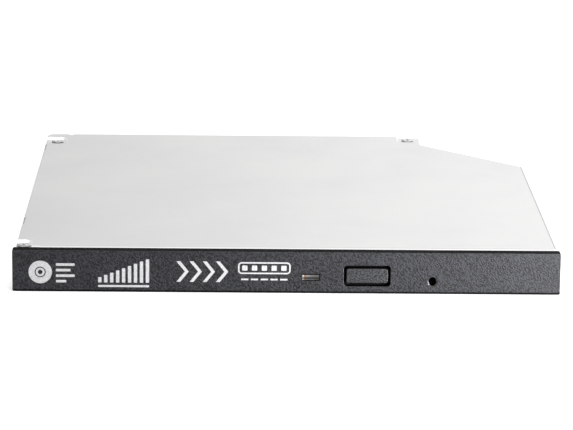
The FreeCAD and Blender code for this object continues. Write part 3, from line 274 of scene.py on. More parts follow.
# polycarbonate from a smooth tool: black with clear highlights round the hub
finishes["rotor_plastic"] = mouldedPlastic("blackPolycarbonateHub", {
    "grain": 0.18, "flow": 4.0, "grainShare": 0.6, "dark": "#161617", "light": "#232326",
    "roughness": (0.28, 0.42), "depth": 0.004})
# acetal without pigment: waxy, off-white and a little glossy
finishes["guide_plastic"] = mouldedPlastic("naturalAcetal", {
    "grain": 0.25, "flow": 6.0, "grainShare": 0.5, "dark": "#d6d3c6", "light": "#e8e5da",
    "roughness": (0.30, 0.45), "depth": 0.004})
# nylon with glass fibres, which mottle the black and take its gloss
finishes["connector_plastic"] = mouldedPlastic("blackNylonConnector", {
    "grain": 0.2, "flow": 3.0, "grainShare": 0.8, "dark": "#101011", "light": "#1d1d1f",
    "roughness": (0.40, 0.60), "depth": 0.006})
# the same nylon, a little greyer
finishes["switch_plastic"] = mouldedPlastic("blackNylonSwitch", {
    "grain": 0.2, "flow": 2.0, "grainShare": 0.8, "dark": "#151516", "light": "#222225",
    "roughness": (0.40, 0.60), "depth": 0.006})
# liquid crystal polymer: dark grey, its melt sets with short flow marks
finishes["holder_plastic"] = mouldedPlastic("liquidCrystalPolymerHolder", {
    "grain": 0.15, "flow": 2.0, "grainShare": 0.8, "dark": "#1a1a1c", "light": "#29292c",
    "roughness": (0.35, 0.50), "depth": 0.004})
# filled epoxy moulded in a blasted tool: dark grey and sandy
finishes["chip_resin"] = mouldedPlastic("mouldedEpoxyChip", {
    "grain": 0.12, "flow": 3.0, "grainShare": 1.0, "dark": "#141415", "light": "#202022",
    "roughness": (0.45, 0.60), "depth": 0.005})
# silicone rubber: the mattest black here, with hardly a highlight
finishes["damper_rubber"] = mouldedPlastic("siliconeRubber", {
    "grain": 0.3, "flow": 3.0, "grainShare": 0.5, "dark": "#0e0e0e", "light": "#191919",
    "roughness": (0.60, 0.80), "depth": 0.004, "specular": 0.35})
# ferrite powder bound in plastic: a brownish, matt black
finishes["magnet_ferrite"] = mouldedPlastic("bondedFerrite", {
    "grain": 0.1, "flow": 2.0, "grainShare": 1.0, "dark": "#161615", "light": "#232220",
    "roughness": (0.55, 0.70), "depth": 0.004})
# cast polyimide film: glossy amber, hardly any grain
finishes["cable_film"] = mouldedPlastic("polyimideFilm", {
    "grain": 0.5, "flow": 4.0, "grainShare": 0.3, "dark": "#a8622a", "light": "#bd7433",
    "roughness": (0.18, 0.26), "depth": 0.002})
# sheet coated before it was pressed: pale grey and a soft mirror, with painted highlights on the drawn slopes
# and the front bend, and a painted darker line along the right-hand bend
finishes["cover_steel"] = sheetMetal("preCoatedSteelSheet", {
    "metallic": 0.85, "stretch": 14, "line": 0.25, "cloud": 22.0, "dark": "#d9dad9", "light": "#dededd",
    "roughness": (0.40, 0.46), "depth": 0.0006, "drawn": "#ffffff",
    "bends": [("Y", -60.5, -60.2, "#ffffff"), ("X", 63.65, 63.45, "#9c9d9e")]})
# sheet with plain electroplated zinc: blue-grey and faintly patchy
finishes["case_steel"] = crystalZinc("electroZincSheet", {
    "crystal": 1.1, "line": 0.5, "dark": "#a9abad", "light": "#babcbe",
    "roughness": (0.34, 0.44), "depth": 0.0015})
# thick pressed plate: a duller mid grey
finishes["frame_steel"] = sheetMetal("pressedSteelPlate", {
    "stretch": 10, "line": 0.3, "cloud": 8.0, "dark": "#97999b", "light": "#a7a9ab",
    "roughness": (0.34, 0.44), "depth": 0.001})
# rolled stainless strip: brighter, with lines along the rail
finishes["rail_steel"] = sheetMetal("rolledStainlessRail", {
    "stretch": 20, "line": 0.2, "cloud": 10.0, "dark": "#a5a6a8", "light": "#b2b3b5",
    "roughness": (0.22, 0.34), "depth": 0.0008})
# centreless ground rod: nearly a mirror, so a lamp is a bright line along it
finishes["rod_steel"] = sheetMetal("groundSteelRod", {
    "line": 0.1, "cloud": 4.0, "dark": "#c3c4c6", "light": "#d0d1d3",
    "roughness": (0.10, 0.18), "depth": 0.0003})
# polished pins and balls: small sharp highlights
finishes["pin_steel"] = sheetMetal("polishedSteelPin", {
    "line": 0.1, "cloud": 2.0, "dark": "#bfc0c2", "light": "#cccdcf",
    "roughness": (0.10, 0.20), "depth": 0.0003})
# wire from a drawing die: grey, a little dull
finishes["spring_steel"] = sheetMetal("drawnSpringWire", {
    "line": 0.08, "cloud": 1.0, "dark": "#a3a4a6", "light": "#b5b6b8",
    "roughness": (0.22, 0.32), "depth": 0.0003})
# zinc plate on a headed screw: bright rim and thread, with painted shade in the cross
finishes["screw_steel"] = sheetMetal("zincPlatedScrew", {
    "line": 0.15, "cloud": 1.5, "dark": "#b3b4b5", "light": "#c6c7c8",
    "roughness": (0.20, 0.32), "depth": 0.0006, "recess": (0.5, "#1f1c1a")})
# die-cast zinc alloy: grey and uneven, with a sandy skin
finishes["sled_alloy"] = sheetMetal("dieCastZincAlloy", {
    "line": 0.35, "cloud": 4.0, "dark": "#8e9093", "light": "#a2a4a7",
    "roughness": (0.40, 0.55), "depth": 0.004})
# enamelled copper wire, wound: warm and glossy, with a fine ripple from its turns
finishes["winding_copper"] = sheetMetal("enamelledCopperWinding", {
    "line": 0.12, "cloud": 1.0, "dark": "#a8622f", "light": "#c97a42",
    "roughness": (0.22, 0.34), "depth": 0.006})
# hard gold over nickel: warm yellow and smooth
finishes["contact_gold"] = sheetMetal("goldPlatedContact", {
    "stretch": 4, "line": 0.1, "cloud": 1.0, "dark": "#d3a95a", "light": "#e2bb6b",
    "roughness": (0.16, 0.26), "depth": 0.0004})


def solderMask(name, look):
    # green lacquer over copper tracks: glossy, the tracks showing as slightly lighter raised lines
    made, tree, shader, place = startMaterial(name, {"IOR": 1.5, "Coat Weight": 0.4, "Coat Roughness": 0.12})
    tracks = addNode(tree, "TexBrick", {"offset": 0.35, "squash": 0.6, "squash_frequency": 3}, {
        "Scale": perMetre(look["track"]), "Mortar Size": 0.12, "Mortar Smooth": 0.2, "Bias": 0.0,
        "Brick Width": 2.4, "Row Height": 0.5}, {"Vector": place}).outputs["Fac"]
    weave = addNode(tree, "TexNoise", None, {"Scale": perMetre(look["weave"]), "Detail": 2.0},
                    {"Vector": place}).outputs["Fac"]
    rough = addNode(tree, "MapRange", None, span(*noiseSpan, *look["roughness"]), {"Value": weave}).outputs[0]
    tone = twoTones(tree, tracks, look["light"], look["dark"], 0.0, 1.0)
    # the brick pattern is 1 in its joints, which lie lower than the rows between them
    finishSkin(tree, shader, tone, rough, tracks, look["depth"], sunk=True)
    return made


finishes["board_laminate"] = solderMask("greenSolderMask", {
    "track": 1.6, "weave": 0.4, "dark": "#10402a", "light": "#1d5a3b",
    "roughness": (0.28, 0.40), "depth": 0.01})


def frostedGuide(name, look):
    # clear acrylic seen end on: a painted glare at the left end, the lamp's amber beside it, and the rest
    # fading into the smoky inside, unevenly; a painted dark line at a step with a dim strip under it, and
    # painted shade of the hood along the top and the right
    made, tree, shader, place = startMaterial(name, {"IOR": 1.49, "Specular IOR Level": 0.12})
    left, bottom = look["corner"]
    axes = addNode(tree, "SeparateXYZ", links={"Vector": place})
    speck = addNode(tree, "TexNoise", None, {"Scale": perMetre(look["speck"]), "Detail": 2.0},
                    {"Vector": place}).outputs["Fac"]
    across = addNode(tree, "MapRange", None, span(left * mm, (left + look["width"]) * mm),
                     {"Value": axes.outputs["X"]}).outputs[0]
    ramp = addNode(tree, "ValToRGB", links={"Fac": across})
    elements = ramp.color_ramp.elements
    for spot, colour in look["fade"][1:-1]:  # the first and the last stop are the ramp's own ends
        elements.new(spot)
    for element, (spot, colour) in zip(elements, look["fade"]):
        element.color = linearColour(colour)
    uneven = addNode(tree, "MapRange", None, span(*noiseSpan, 0.0, look["uneven"]), {"Value": speck}).outputs[0]
    tone = addNode(tree, "Mix", colours, {7: linearColour(look["dark"])},
                   {0: uneven, 6: ramp.outputs["Color"]}).outputs[2]
    blur = look["blur"]
    middle = bottom + look["dimBelow"]
    low = addNode(tree, "MapRange", softly, span((middle + blur[0]) * mm, (middle - blur[0]) * mm,
                                                 0.0, look["dimBy"]), {"Value": axes.outputs["Z"]}).outputs[0]
    tone = addNode(tree, "Mix", colours, {7: linearColour(look["dark"])}, {0: low, 6: tone}).outputs[2]
    for axis, middle, reach in look["shades"]:
        away = addNode(tree, "Math", {"operation": "SUBTRACT"}, {1: middle * mm}, {0: axes.outputs[axis]})
        away = addNode(tree, "Math", {"operation": "ABSOLUTE"}, None, {0: away.outputs[0]})
        fac = addNode(tree, "MapRange", softly, span((reach + blur[1]) * mm, (reach - blur[1]) * mm),
                      {"Value": away.outputs[0]}).outputs[0]
        tone = addNode(tree, "Mix", colours, {7: linearColour(look["dark"])}, {0: fac, 6: tone}).outputs[2]
    rough = addNode(tree, "MapRange", None, span(*noiseSpan, *look["roughness"]), {"Value": speck}).outputs[0]
    finishSkin(tree, shader, tone, rough, speck, look["depth"])
    return made


finishes["guide_clear"] = frostedGuide("frostedAcrylicGuide", {
    "speck": 0.7, "uneven": 0.5, "roughness": (0.35, 0.50), "depth": 0.01,  # the frost
    "corner": (3.7, 3.05), "width": 4.2,  # the face that shows
    "fade": [(0.0, "#c8c8c8"), (0.12, "#704830"), (0.25, "#606060"), (1.0, "#404040")],  # glare, amber, smoke
    "dimBelow": 1.0, "dimBy": 0.6,  # under this height less of the light comes through
    "dark": "#060606", "shades": [("Z", 3.65, 0.12), ("Z", 3.05, 0.18), ("Z", 4.75, 0.36), ("X", 7.9, 0.34)],
    "blur": (0.1, 0.06)})  # half the width over which the parts fade into each other


def diffusingResin(name, look):
    # the lamp's cast epoxy: milky amber, light goes a little way in
    made, tree, shader, place = startMaterial(name, {
        "IOR": 1.54, "Subsurface Weight": 0.4, "Subsurface Scale": 0.5 * mm})
    milk = addNode(tree, "TexNoise", None, {"Scale": perMetre(look["milk"]), "Detail": 2.0},
                   {"Vector": place}).outputs["Fac"]
    rough = addNode(tree, "MapRange", None, span(*noiseSpan, *look["roughness"]), {"Value": milk})
    tree.links.new(twoTones(tree, milk, look["dark"], look["light"]), shader.inputs["Base Color"])
    tree.links.new(rough.outputs[0], shader.inputs["Roughness"])
    return made


finishes["lamp_resin"] = diffusingResin("amberEpoxyLamp", {
    "milk": 0.6, "dark": "#c98430", "light": "#e9b060", "roughness": (0.15, 0.25)})


def coatedLens(name, look):
    # moulded glass lens: a mirror-smooth coat, whose colour shifts from blue to violet towards the rim
    made, tree, shader, place = startMaterial(name, {
        "IOR": 1.6, "Transmission Weight": 0.5, "Coat Weight": 1.0, "Coat Roughness": 0.02})
    rim = addNode(tree, "LayerWeight", values={"Blend": 0.35}).outputs["Facing"]
    fine = addNode(tree, "TexNoise", None, {"Scale": perMetre(look["fine"])}, {"Vector": place}).outputs[0]
    rough = addNode(tree, "MapRange", None, span(*noiseSpan, *look["roughness"]), {"Value": fine})
    tree.links.new(twoTones(tree, rim, look["middle"], look["rim"], 0.2, 0.8), shader.inputs["Base Color"])
    tree.links.new(rough.outputs[0], shader.inputs["Roughness"])
    return made


finishes["lens_glass"] = coatedLens("coatedGlassLens", {
    "fine": 0.3, "middle": "#3b6fb5", "rim": "#6a4ea0", "roughness": (0.03, 0.08)})


def padPrint(name, look):
    # pad-printed ink: a thin matt grey-white film that lets a little of the dark grain through
    made, tree, shader, place = startMaterial(name, {"IOR": 1.5})
    grain = addNode(tree, "TexNoise", None, {"Scale": perMetre(look["grain"]), "Detail": 2.0},
                    {"Vector": place}).outputs["Fac"]
    rough = addNode(tree, "MapRange", None, span(*noiseSpan, *look["roughness"]), {"Value": grain}).outputs[0]
    finishSkin(tree, shader, twoTones(tree, grain, look["dark"], look["light"]), rough, grain, look["depth"])
    return made


inkWhite = padPrint("whitePadPrintInk", {
    "grain": 0.42, "dark": "#828283", "light": "#969697", "roughness": (0.50, 0.65), "depth": 0.01})

# Each CAD node takes the finish of its material slot
for part in frame["record"]["subparts"]:
    owner = nodes[part["node"]]
    owner.data.materials.clear()
    owner.data.materials.append(finishes[part["material_slot"]])
print("finishes:", len(finishes))

# New pieces: arrays of points and quads
poleGap = 0.0001  # points closer than this are one, mm


def makePiece(name, points, faces, material, body, smooth=True):
    mesh = bpy.data.meshes.new(name)
    mesh.from_pydata(np.asarray(points, float).tolist(), [], [list(map(int, face)) for face in faces])
    # the points that meet at a pole become one, and the closed shell's faces are turned outwards
    shell = bmesh.new()
    shell.from_mesh(mesh)
    bmesh.ops.remove_doubles(shell, verts=shell.verts, dist=poleGap * mm)
    bmesh.ops.recalc_face_normals(shell, faces=shell.faces)
    shell.to_mesh(mesh)
    shell.free()
    mesh.polygons.foreach_set("use_smooth", np.full(len(mesh.polygons), smooth))
    mesh.materials.append(material)
    made = bpy.data.objects.new(name, mesh)
    bpy.context.scene.collection.objects.link(made)
    if body:  # a piece that bends between two bodies rides on neither
        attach(made, body)
    return made


def joinShapes(shapes):
    # several (points, faces) as one, the corner numbers shifted on
    points, faces, start = [], [], 0
    for shapePoints, shapeFaces in shapes:
        points.append(shapePoints)
        faces.extend([[corner + start for corner in face] for face in shapeFaces])
        start += len(shapePoints)
    return np.concatenate(points), faces


def ringQuads(rings, around):
    # quads between neighbouring closed rings of the same number of points
    row, step = np.meshgrid(np.arange(rings - 1), np.arange(around), indexing="ij")
    after = (step + 1) % around
    return np.stack([row * around + step, row * around + after, (row + 1) * around + after,
                     (row + 1) * around + step], -1).reshape(-1, 4).tolist()


def cutEnds(rings, around):
    # the two flat ends of a shape of closed rings
    return [list(range(around))[::-1], list(range((rings - 1) * around, rings * around))]


# Marks on the bezel: plain shapes in white ink, mm from the middle of the bezel's width and from its foot
marks = {
    "ink": 0.02,  # thickness of the film
    "points": {"circle": 48, "frame": 40, "bar": 16}, "barCorner": 0.15,  # corner radius as a share of a bar
    "disc": {"centre": (-58.0, 4.75), "radii": [(0.55, 1.05), (1.3, 2.75)]},
    "list": {"left": -54.3, "lengths": [4.4, 3.4, 4.4, 2.4], "top": 6.9, "pitch": 1.35, "height": 0.62},
    "levels": {"left": -44.4, "count": 9, "pitch": 1.4, "width": 0.8, "bottom": 2.3, "first": 1.3,
               "rise": 0.55},
    "levelBase": {"left": -44.4, "right": -32.4, "bottom": 1.2, "height": 0.5},
    "chevrons": {"left": -26.0, "count": 4, "pitch": 3.1, "height": 5.0, "middle": 5.1, "bar": 1.15,
                 "reach": 2.5, "squeeze": 0.8},
    "frame": {"centre": (-5.3, 6.05), "size": (12.4, 2.9), "bar": 0.35, "corner": 0.9},
    "frameDots": {"count": 5, "pitch": 2.3, "size": 1.25},
    "dashes": {"width": 1.7, "height": 0.4, "z": 3.3},  # one under each dot
}
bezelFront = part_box("front_bezel")[0].y / mm


def circle(centre, radius):
    # points at equal angles
    angle = np.arange(marks["points"]["circle"]) / marks["points"]["circle"] * 2 * np.pi
    return np.array(centre) + radius * np.stack([np.cos(angle), np.sin(angle)], -1)


def roundedLoop(centre, size, corner, around):
    # a rounded rectangle: a circle of the corner's radius whose four quarters are pushed apart
    angle = (np.arange(around) + 0.5) / around * 2 * np.pi
    push = np.array([size[0] / 2 - corner, size[1] / 2 - corner])
    direction = np.stack([np.cos(angle), np.sin(angle)], -1)
    return np.array(centre) + direction * corner + np.sign(direction) * push


def printedPlate(loop):
    # a flat shape of the ink's thickness: its outline at the bezel and at the ink's face, joined by a wall
    count = len(loop)
    back = np.column_stack([loop[:, 0], np.full(count, bezelFront), loop[:, 1]])
    face = back - [0, marks["ink"], 0]
    wall = [[i, (i + 1) % count, count + (i + 1) % count, count + i] for i in range(count)]
    return np.concatenate([back, face]), wall + [list(range(count, 2 * count)), list(range(count))[::-1]]


def printedRing(outer, inner):
    # a flat band between two outlines with the same number of points, closed all round
    count = len(outer)
    loops = [(outer, 0), (outer, marks["ink"]), (inner, marks["ink"]), (inner, 0)]
    points = np.concatenate([np.column_stack([loop[:, 0], np.full(count, bezelFront - rise), loop[:, 1]])
                             for loop, rise in loops])
    back = [[3 * count + i, 3 * count + (i + 1) % count, (i + 1) % count, i] for i in range(count)]
    return points, ringQuads(4, count) + back


def bar(left, right, bottom, top):
    # a plate between four limits, with small round corners
    size = (right - left, top - bottom)
    return printedPlate(roundedLoop(((left + right) / 2, (bottom + top) / 2), size,
                                    marks["barCorner"] * min(size), marks["points"]["bar"]))


def bezelMarks():
    # two rings, a list of bars, steps that rise from a base, chevrons, and a frame of squares over dashes
    disc, rows, level, base = marks["disc"], marks["list"], marks["levels"], marks["levelBase"]
    shapes = [printedRing(circle(disc["centre"], outer), circle(disc["centre"], inner))
              for inner, outer in disc["radii"]]
    for i, length in enumerate(rows["lengths"]):
        top = rows["top"] - i * rows["pitch"]
        shapes.append(bar(rows["left"], rows["left"] + length, top - rows["height"], top))
    for i in range(level["count"]):
        left = level["left"] + i * level["pitch"]
        top = level["bottom"] + level["first"] + i * level["rise"]
        shapes.append(bar(left, left + level["width"], level["bottom"], top))
    shapes.append(bar(base["left"], base["right"], base["bottom"], base["bottom"] + base["height"]))
    chevron = marks["chevrons"]
    half, reach, thick = chevron["height"] / 2, chevron["reach"], chevron["bar"]
    outline = np.array([(reach, 0), (0, -half), (thick, -half), (reach + thick, 0), (thick, half), (0, half)])
    for i in range(chevron["count"]):
        shapes.append(printedPlate(outline * [chevron["squeeze"], 1]
                                   + [chevron["left"] + i * chevron["pitch"], chevron["middle"]]))
    edge, dots, dashes = marks["frame"], marks["frameDots"], marks["dashes"]
    outer, inner = [roundedLoop(edge["centre"], np.array(edge["size"]) - 2 * inset, edge["corner"] - inset,
                                marks["points"]["frame"]) for inset in (0, edge["bar"])]
    shapes.append(printedRing(outer, inner))
    for i in range(dots["count"]):
        x = edge["centre"][0] + (i - (dots["count"] - 1) / 2) * dots["pitch"]
        for width, height, z in ((dots["size"], dots["size"], edge["centre"][1]),
                                 (dashes["width"], dashes["height"], dashes["z"])):
            shapes.append(bar(x - width / 2, x + width / 2, z - height / 2, z + height / 2))
    points, faces = joinShapes(shapes)
    return makePiece("bezel_marks", points * mm, faces, inkWhite, "drawer", smooth=False)


bezelMarks()
print("bezel marks")


# Turned and threaded pieces, each a grid of rings along an axis by points around it; sizes in mm
screws = {
    "around": 72, "gather": 0.7,  # points around, drawn together towards the wings of the cross
    # shares of the head's radius: its rings, from, to and how many; the cross's half width and reach; and how
    # wide its side and end walls are
    "inner": (0, 0.7, 22), "outer": (0.74, 1.0, 8), "wing": (0.13, 0.62), "walls": (0.07, 0.12),
    "recess": 0.30, "fullRise": 0.4,  # the cross's depth, less in a head that rises less than this
    "rimFall": 0.25,  # the rim's share of the head's rise
    "pitch": 0.40, "ridge": 0.10,  # the thread's pitch and depth
    "perPitch": 10, "fewest": 6, "runIn": 4,  # its rings: in each pitch, at least, and until its full depth
    "tip": 0.55,  # the end's share of the shank's radius
    # each kind: ends are the heights of its head's top and of its tip, up says which way the head looks
    "cover_screws": {
        "head": 1.6, "rise": 0.4, "shank": 0.75, "body": "case", "ends": (10.0, 8.65), "up": 1,
        "places": [(-62.2, -58.6), (-60.9, 56.0), (35.4, 60.7)]},
    "tray_screws": {
        "head": 1.4, "rise": 0.3, "shank": 0.7, "body": "drawer", "ends": (1.5, 4.4), "up": -1,
        "places": [(-55.8, -57.4), (-8.0, -57.8), (14.5, 44.0), (-56.2, 10.0), (31.0, 26.0)]},
    "damper_screws": {
        "head": 2.0, "rise": 0.4, "shank": 0.8, "body": "drawer", "ends": (1.9, 4.8), "up": -1,
        "onTraverse": True, "places": [(-16.0, 25.5), (50.03, 25.5), (-25.5, -12.0), (48.03, -31.0)]},
}
traverse = {"turn": 225, "discY": 0.7}  # degrees, and where the disc's axis stands


def ontoTraverse(points):
    # from the traverse's own frame: turned about the disc's axis
    turn = math.radians(traverse["turn"])
    x, y, z = points.T
    return np.column_stack([x * math.cos(turn) - y * math.sin(turn),
                            x * math.sin(turn) + y * math.cos(turn) + traverse["discY"], z])


def screwShape(place, kind):
    # head: flat, falling at the rim with the sixth power of the radius, less a cross with straight sloping
    # walls; shank: its radius less a cut that goes up and down once per pitch and per turn, which is a thread
    rise, up = kind["rise"], kind["up"]
    top, bottom = kind["ends"]
    even = np.arange(screws["around"]) / screws["around"] * 2 * np.pi
    angle = even - screws["gather"] * np.sin(4 * even) / 4
    share = np.concatenate([np.linspace(*screws["inner"]), np.linspace(*screws["outer"])])
    x, y = share[:, None] * np.cos(angle), share[:, None] * np.sin(angle)
    across, along = np.minimum(abs(x), abs(y)), np.maximum(abs(x), abs(y))
    deep = screws["recess"] * min(1, rise / screws["fullRise"])
    for away, limit, wall in zip((across, along), screws["wing"], screws["walls"]):
        deep = deep * (1 - np.clip((away - limit) / wall + 0.5, 0, 1))
    headZ = top - up * (screws["rimFall"] * rise * share[:, None] ** 6 + deep)
    headR = kind["head"] * share[:, None] + 0 * angle
    under = top - up * rise
    rings = max(screws["fewest"], int(abs(under - bottom) / screws["pitch"] * screws["perPitch"]))
    down = np.linspace(0, 1, rings)[:, None]
    z = under + (bottom - under) * down + 0 * angle
    turn = (angle / (2 * np.pi) - up * z / screws["pitch"]) % 1
    cut = screws["ridge"] * (1 - abs(2 * turn - 1)) * np.clip(down * rings / screws["runIn"], 0, 1)
    thread = kind["shank"] - cut
    tip = thread[-1:] * screws["tip"]
    radii = np.concatenate([headR, headR[-1:], thread, tip, 0 * tip])
    heights = np.concatenate([headZ, 0 * headR[-1:] + under, z, z[-1:], z[-1:]])
    points = np.stack([place[0] + radii * np.cos(angle), place[1] + radii * np.sin(angle), heights], -1)
    return points.reshape(-1, 3), ringQuads(len(radii), len(angle))


def replaceScrews(node):
    kind = screws[node]
    points, faces = joinShapes([screwShape(place, kind) for place in kind["places"]])
    points = ontoTraverse(points) if kind.get("onTraverse") else points
    made = makePiece(node + "_detailed", points * mm, faces, finishes["screw_steel"], kind["body"])
    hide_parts(node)


for node in ("cover_screws", "tray_screws", "damper_screws"):
    replaceScrews(node)
print("screws")

leadScrew = {
    "span": (5.8, 57.03), "y": -22.5, "z": 3.8, "radius": 0.9, "chamfer": 0.15,  # in the traverse's own frame
    "lead": 3.0, "groove": 0.28,  # how deep
    "width": 0.42, "wall": 0.12,  # shares of a lead: the groove, and its two walls together
    "journals": (3.0, 2.0), "runOut": 0.3,  # plain ends, and the length over which the groove ends
    "around": 48, "perMm": 8,
}


def leadScrewPiece():
    # radius = rod less a groove, which lies where turn about the axis plus place over lead is a whole number
    low, high = leadScrew["span"]
    first, last = leadScrew["journals"]
    angle = np.arange(leadScrew["around"]) / leadScrew["around"] * 2 * np.pi
    x = np.linspace(low, high, int((high - low) * leadScrew["perMm"]))[:, None]
    turn = (angle / (2 * np.pi) + x / leadScrew["lead"]) % 1
    away = np.minimum(turn, 1 - turn) * 2
    inside = (np.clip((x - low - first) / leadScrew["runOut"], 0, 1)
              * np.clip((high - last - x) / leadScrew["runOut"], 0, 1))
    cut = leadScrew["groove"] * np.clip((leadScrew["width"] - away) / leadScrew["wall"], 0, 1) * inside
    radius = leadScrew["radius"] - cut
    ends = radius[[0, -1]] - leadScrew["chamfer"]
    radius = np.concatenate([0 * ends[:1], ends[:1], radius, ends[1:], 0 * ends[1:]])
    x = np.concatenate([x[:1], x[:1], x, x[-1:], x[-1:]]) + 0 * angle
    points = np.stack([x, leadScrew["y"] + radius * np.cos(angle),
                       leadScrew["z"] + radius * np.sin(angle)], -1)
    made = makePiece("lead_screw_threaded", ontoTraverse(points.reshape(-1, 3)) * mm,
                     ringQuads(len(x), len(angle)), finishes["rod_steel"], "screw")
    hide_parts("lead_screw")


leadScrewPiece()
print("lead screw")

spring = {
    "x": 24.0, "z": 3.4, "y": (32.0, 41.1), "radius": 1.4, "wire": 0.18, "sides": 12,
    "turns": 6, "perTurn": 40, "closing": 0.09,  # how far the end turns are drawn in, share of the length
}


def tubeAlong(path, across, upward, radius, sides):
    # a round wire: at each point of the path a circle in the plane of the two given directions
    angle = np.arange(sides) / sides * 2 * np.pi
    points = (path[:, None] + radius * (across[:, None] * np.cos(angle)[:, None]
                                        + upward[:, None] * np.sin(angle)[:, None]))
    return points.reshape(-1, 3), ringQuads(len(path), sides) + cutEnds(len(path), sides)


def springPiece():
    # helix: the place along rises slowly in the two end turns, which lie closed, and evenly between them
    steps = spring["turns"] * spring["perTurn"] + 1
    t = np.linspace(0, 1, steps)
    turn = 2 * np.pi * spring["turns"] * t
    low, high = spring["y"][0] + spring["wire"], spring["y"][1] - spring["wire"]
    rise = t - spring["closing"] * np.sin(2 * np.pi * t) * abs(np.cos(np.pi * t)) ** 3
    outward = np.column_stack([np.cos(turn), 0 * t, np.sin(turn)])
    path = outward * spring["radius"] + np.column_stack([spring["x"] + 0 * t, low + (high - low) * rise,
                                                         spring["z"] + 0 * t])
    along = np.tile([0.0, 1.0, 0.0], (steps, 1))
    points, faces = tubeAlong(path, outward, along, spring["wire"], spring["sides"])
    made = makePiece("eject_spring_coil", points * mm, faces, finishes["spring_steel"], None)
    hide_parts("eject_spring")
    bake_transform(made)


springPiece()

loop = {
    "x": (-34.0, -22.0), "thick": 0.10, "floor": 1.12,  # the film's edges, and the height that it stays above
    "fold": -10.15, "inset": 0.09, "low": 1.15, "high": 1.33,  # where it folds over, between these heights
    "board": 44.95, "top": 3.0, "bend": 0.8,  # where it turns up to the board
    "easing": 0.5,  # how far from the turns the straight run's points end
    "across": 25, "runSteps": 60, "bendSteps": 13,
}


def cableLoopPiece():
    # a flat film: half a turn at the fold, a straight run, then a quarter turn up to the board; each point of
    # that path carries a thin strip across, half its thickness to either side
    bend, half = loop["bend"], (loop["high"] - loop["low"]) / 2
    over = np.linspace(-np.pi / 2, -3 * np.pi / 2, loop["bendSteps"])
    fold = np.column_stack([loop["fold"] + loop["inset"] + half * np.cos(over),
                            loop["low"] + half + half * np.sin(over)])
    run = np.column_stack([np.linspace(loop["fold"] + loop["easing"], loop["board"] - bend - loop["easing"],
                                       loop["runSteps"]), np.full(loop["runSteps"], loop["high"])])
    upturn = np.linspace(-np.pi / 2, 0, loop["bendSteps"])
    rise = np.column_stack([loop["board"] - bend + bend * np.cos(upturn),
                            loop["high"] + bend + bend * np.sin(upturn)])
    path = np.concatenate([fold, run, rise, [[loop["board"], loop["top"]]]])
    ahead = np.gradient(path, axis=0)
    ahead /= np.linalg.norm(ahead, axis=1, keepdims=True)
    normal = np.column_stack([-ahead[:, 1], ahead[:, 0]])
    x = np.linspace(*loop["x"], loop["across"])
    section = np.concatenate([np.column_stack([x, np.full(len(x), 0.5)]),
                              np.column_stack([x[::-1], np.full(len(x), -0.5)])])
    lift = section[:, 1] * loop["thick"]
    points = np.stack([section[:, 0] + 0 * path[:, :1], path[:, :1] + normal[:, :1] * lift,
                       path[:, 1:] + normal[:, 1:] * lift], -1)
    points[..., 2] = np.maximum(points[..., 2], loop["floor"])
    faces = ringQuads(len(path), len(section)) + cutEnds(len(path), len(section))
    made = makePiece("flex_loop_film", points.reshape(-1, 3) * mm, faces, finishes["cable_film"], None)
    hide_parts("flex_loop")
    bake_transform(made)


cableLoopPiece()
print("spring and cable loop")

# Camera where the photograph was taken from: place, lens and sensor width in mm, roll in degrees, clips in m
camera = {"place": (-13.55, -730.94, 182.65), "forward": (0.01938, 0.9710, -0.2384), "roll": -0.70,
          "lens": 184.08, "sensor": 36.0, "clip": (0.01, 50)}


def placeCamera():
    # it looks along forward, and rolls about that line
    data = bpy.data.cameras.new("camera")
    data.lens, data.sensor_width = camera["lens"], camera["sensor"]
    data.clip_start, data.clip_end = camera["clip"]
    made = bpy.data.objects.new("camera", data)
    bpy.context.scene.collection.objects.link(made)
    forward = Vector(camera["forward"]).normalized()
    right = forward.cross(Vector((0, 0, 1))).normalized()
    up = right.cross(forward)
    turn = math.radians(camera["roll"])
    rolledRight = math.cos(turn) * right - math.sin(turn) * up
    rolledUp = math.sin(turn) * right + math.cos(turn) * up
    made.matrix_world = (Matrix.Translation(Vector(camera["place"]) * mm)
                         @ Matrix((rolledRight, rolledUp, -forward)).transposed().to_4x4())
    bpy.context.scene.camera = made


placeCamera()

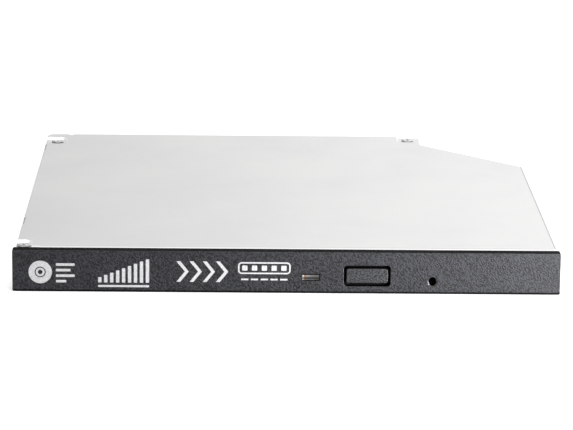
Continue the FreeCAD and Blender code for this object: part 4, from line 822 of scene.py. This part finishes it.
# Studio: pale floor, pale surroundings and soft lamps; sizes in metres
studio = {
    "floorSize": 6.0, "floor": "#f8f8f8", "glow": 0.19,  # the floor is a faintly lit table
    # brightness of the sky and of its right rear part, how softly they meet, and where the rear part ends
    "sky": {"left": 0.595, "right": 1.49, "spread": 0.14, "rear": (0.45, 0.80)},
    # a softbox in front and above; two low strips that draw the lines on the bezel's rounded edges
    "lamps": [
        {"name": "top_softbox", "place": (0.0, -0.5, 1.3), "aim": (0.0, 0.0, 0.0),
         "size": (1.5, 0.9), "watts": 14.0},
        {"name": "right_strip", "place": (0.40, -0.12, 0.0055), "aim": (0.02, -0.062, 0.0055),
         "size": (0.04, 0.008), "watts": 1.75},
        {"name": "near_lamp", "place": (0.14, -0.17, 0.0055), "aim": (0.045, -0.064, 0.0055),
         "size": (0.10, 0.009), "watts": 1.21},
    ],
}


def buildFloor():
    size = studio["floorSize"] / 2
    mesh = bpy.data.meshes.new("floor")
    corners = [(-size, -size, 0), (size, -size, 0), (size, size, 0), (-size, size, 0)]
    mesh.from_pydata(corners, [], [(0, 1, 2, 3)])
    mesh.materials.append(startMaterial("paleStudioFloor", {
        "Base Color": linearColour(studio["floor"]), "Roughness": 0.9, "Specular IOR Level": 0.1,
        "Emission Color": (1, 1, 1, 1), "Emission Strength": studio["glow"]})[0])
    floor = bpy.data.objects.new("floor", mesh)
    bpy.context.scene.collection.objects.link(floor)


def buildSky():
    # the strength goes from one value to the other by how far right times how far to the rear a ray looks
    world = bpy.data.worlds.new("studio")
    world.use_nodes = True
    sky, tree = studio["sky"], world.node_tree
    background = tree.nodes["Background"]
    ray = addNode(tree, "TexCoord").outputs["Generated"]
    axes = addNode(tree, "SeparateXYZ", links={"Vector": ray}).outputs
    right, rear = [addNode(tree, "MapRange", softly, span(*ends), {"Value": axes[axis]}).outputs[0]
                   for axis, ends in (("X", (-sky["spread"], sky["spread"])), ("Y", sky["rear"]))]
    bright = addNode(tree, "Math", {"operation": "MULTIPLY"}, None, {0: right, 1: rear}).outputs[0]
    strength = addNode(tree, "MapRange", None, span(0.0, 1.0, sky["left"], sky["right"]), {"Value": bright})
    background.inputs["Color"].default_value = (1, 1, 1, 1)
    tree.links.new(strength.outputs[0], background.inputs["Strength"])
    bpy.context.scene.world = world


def hangLamps():
    for lamp in studio["lamps"]:
        data = bpy.data.lights.new(lamp["name"], "AREA")
        data.shape = "RECTANGLE"
        data.size, data.size_y = lamp["size"]
        data.energy = lamp["watts"]
        made = bpy.data.objects.new(lamp["name"], data)
        bpy.context.scene.collection.objects.link(made)
        made.location = lamp["place"]
        made.visible_camera = False
        beam = Vector(lamp["aim"]) - Vector(lamp["place"])
        made.rotation_euler = beam.to_track_quat("-Z", "Y").to_euler()


buildFloor()
buildSky()
hangLamps()
bpy.context.scene.view_settings.view_transform = "Standard"
print("studio")
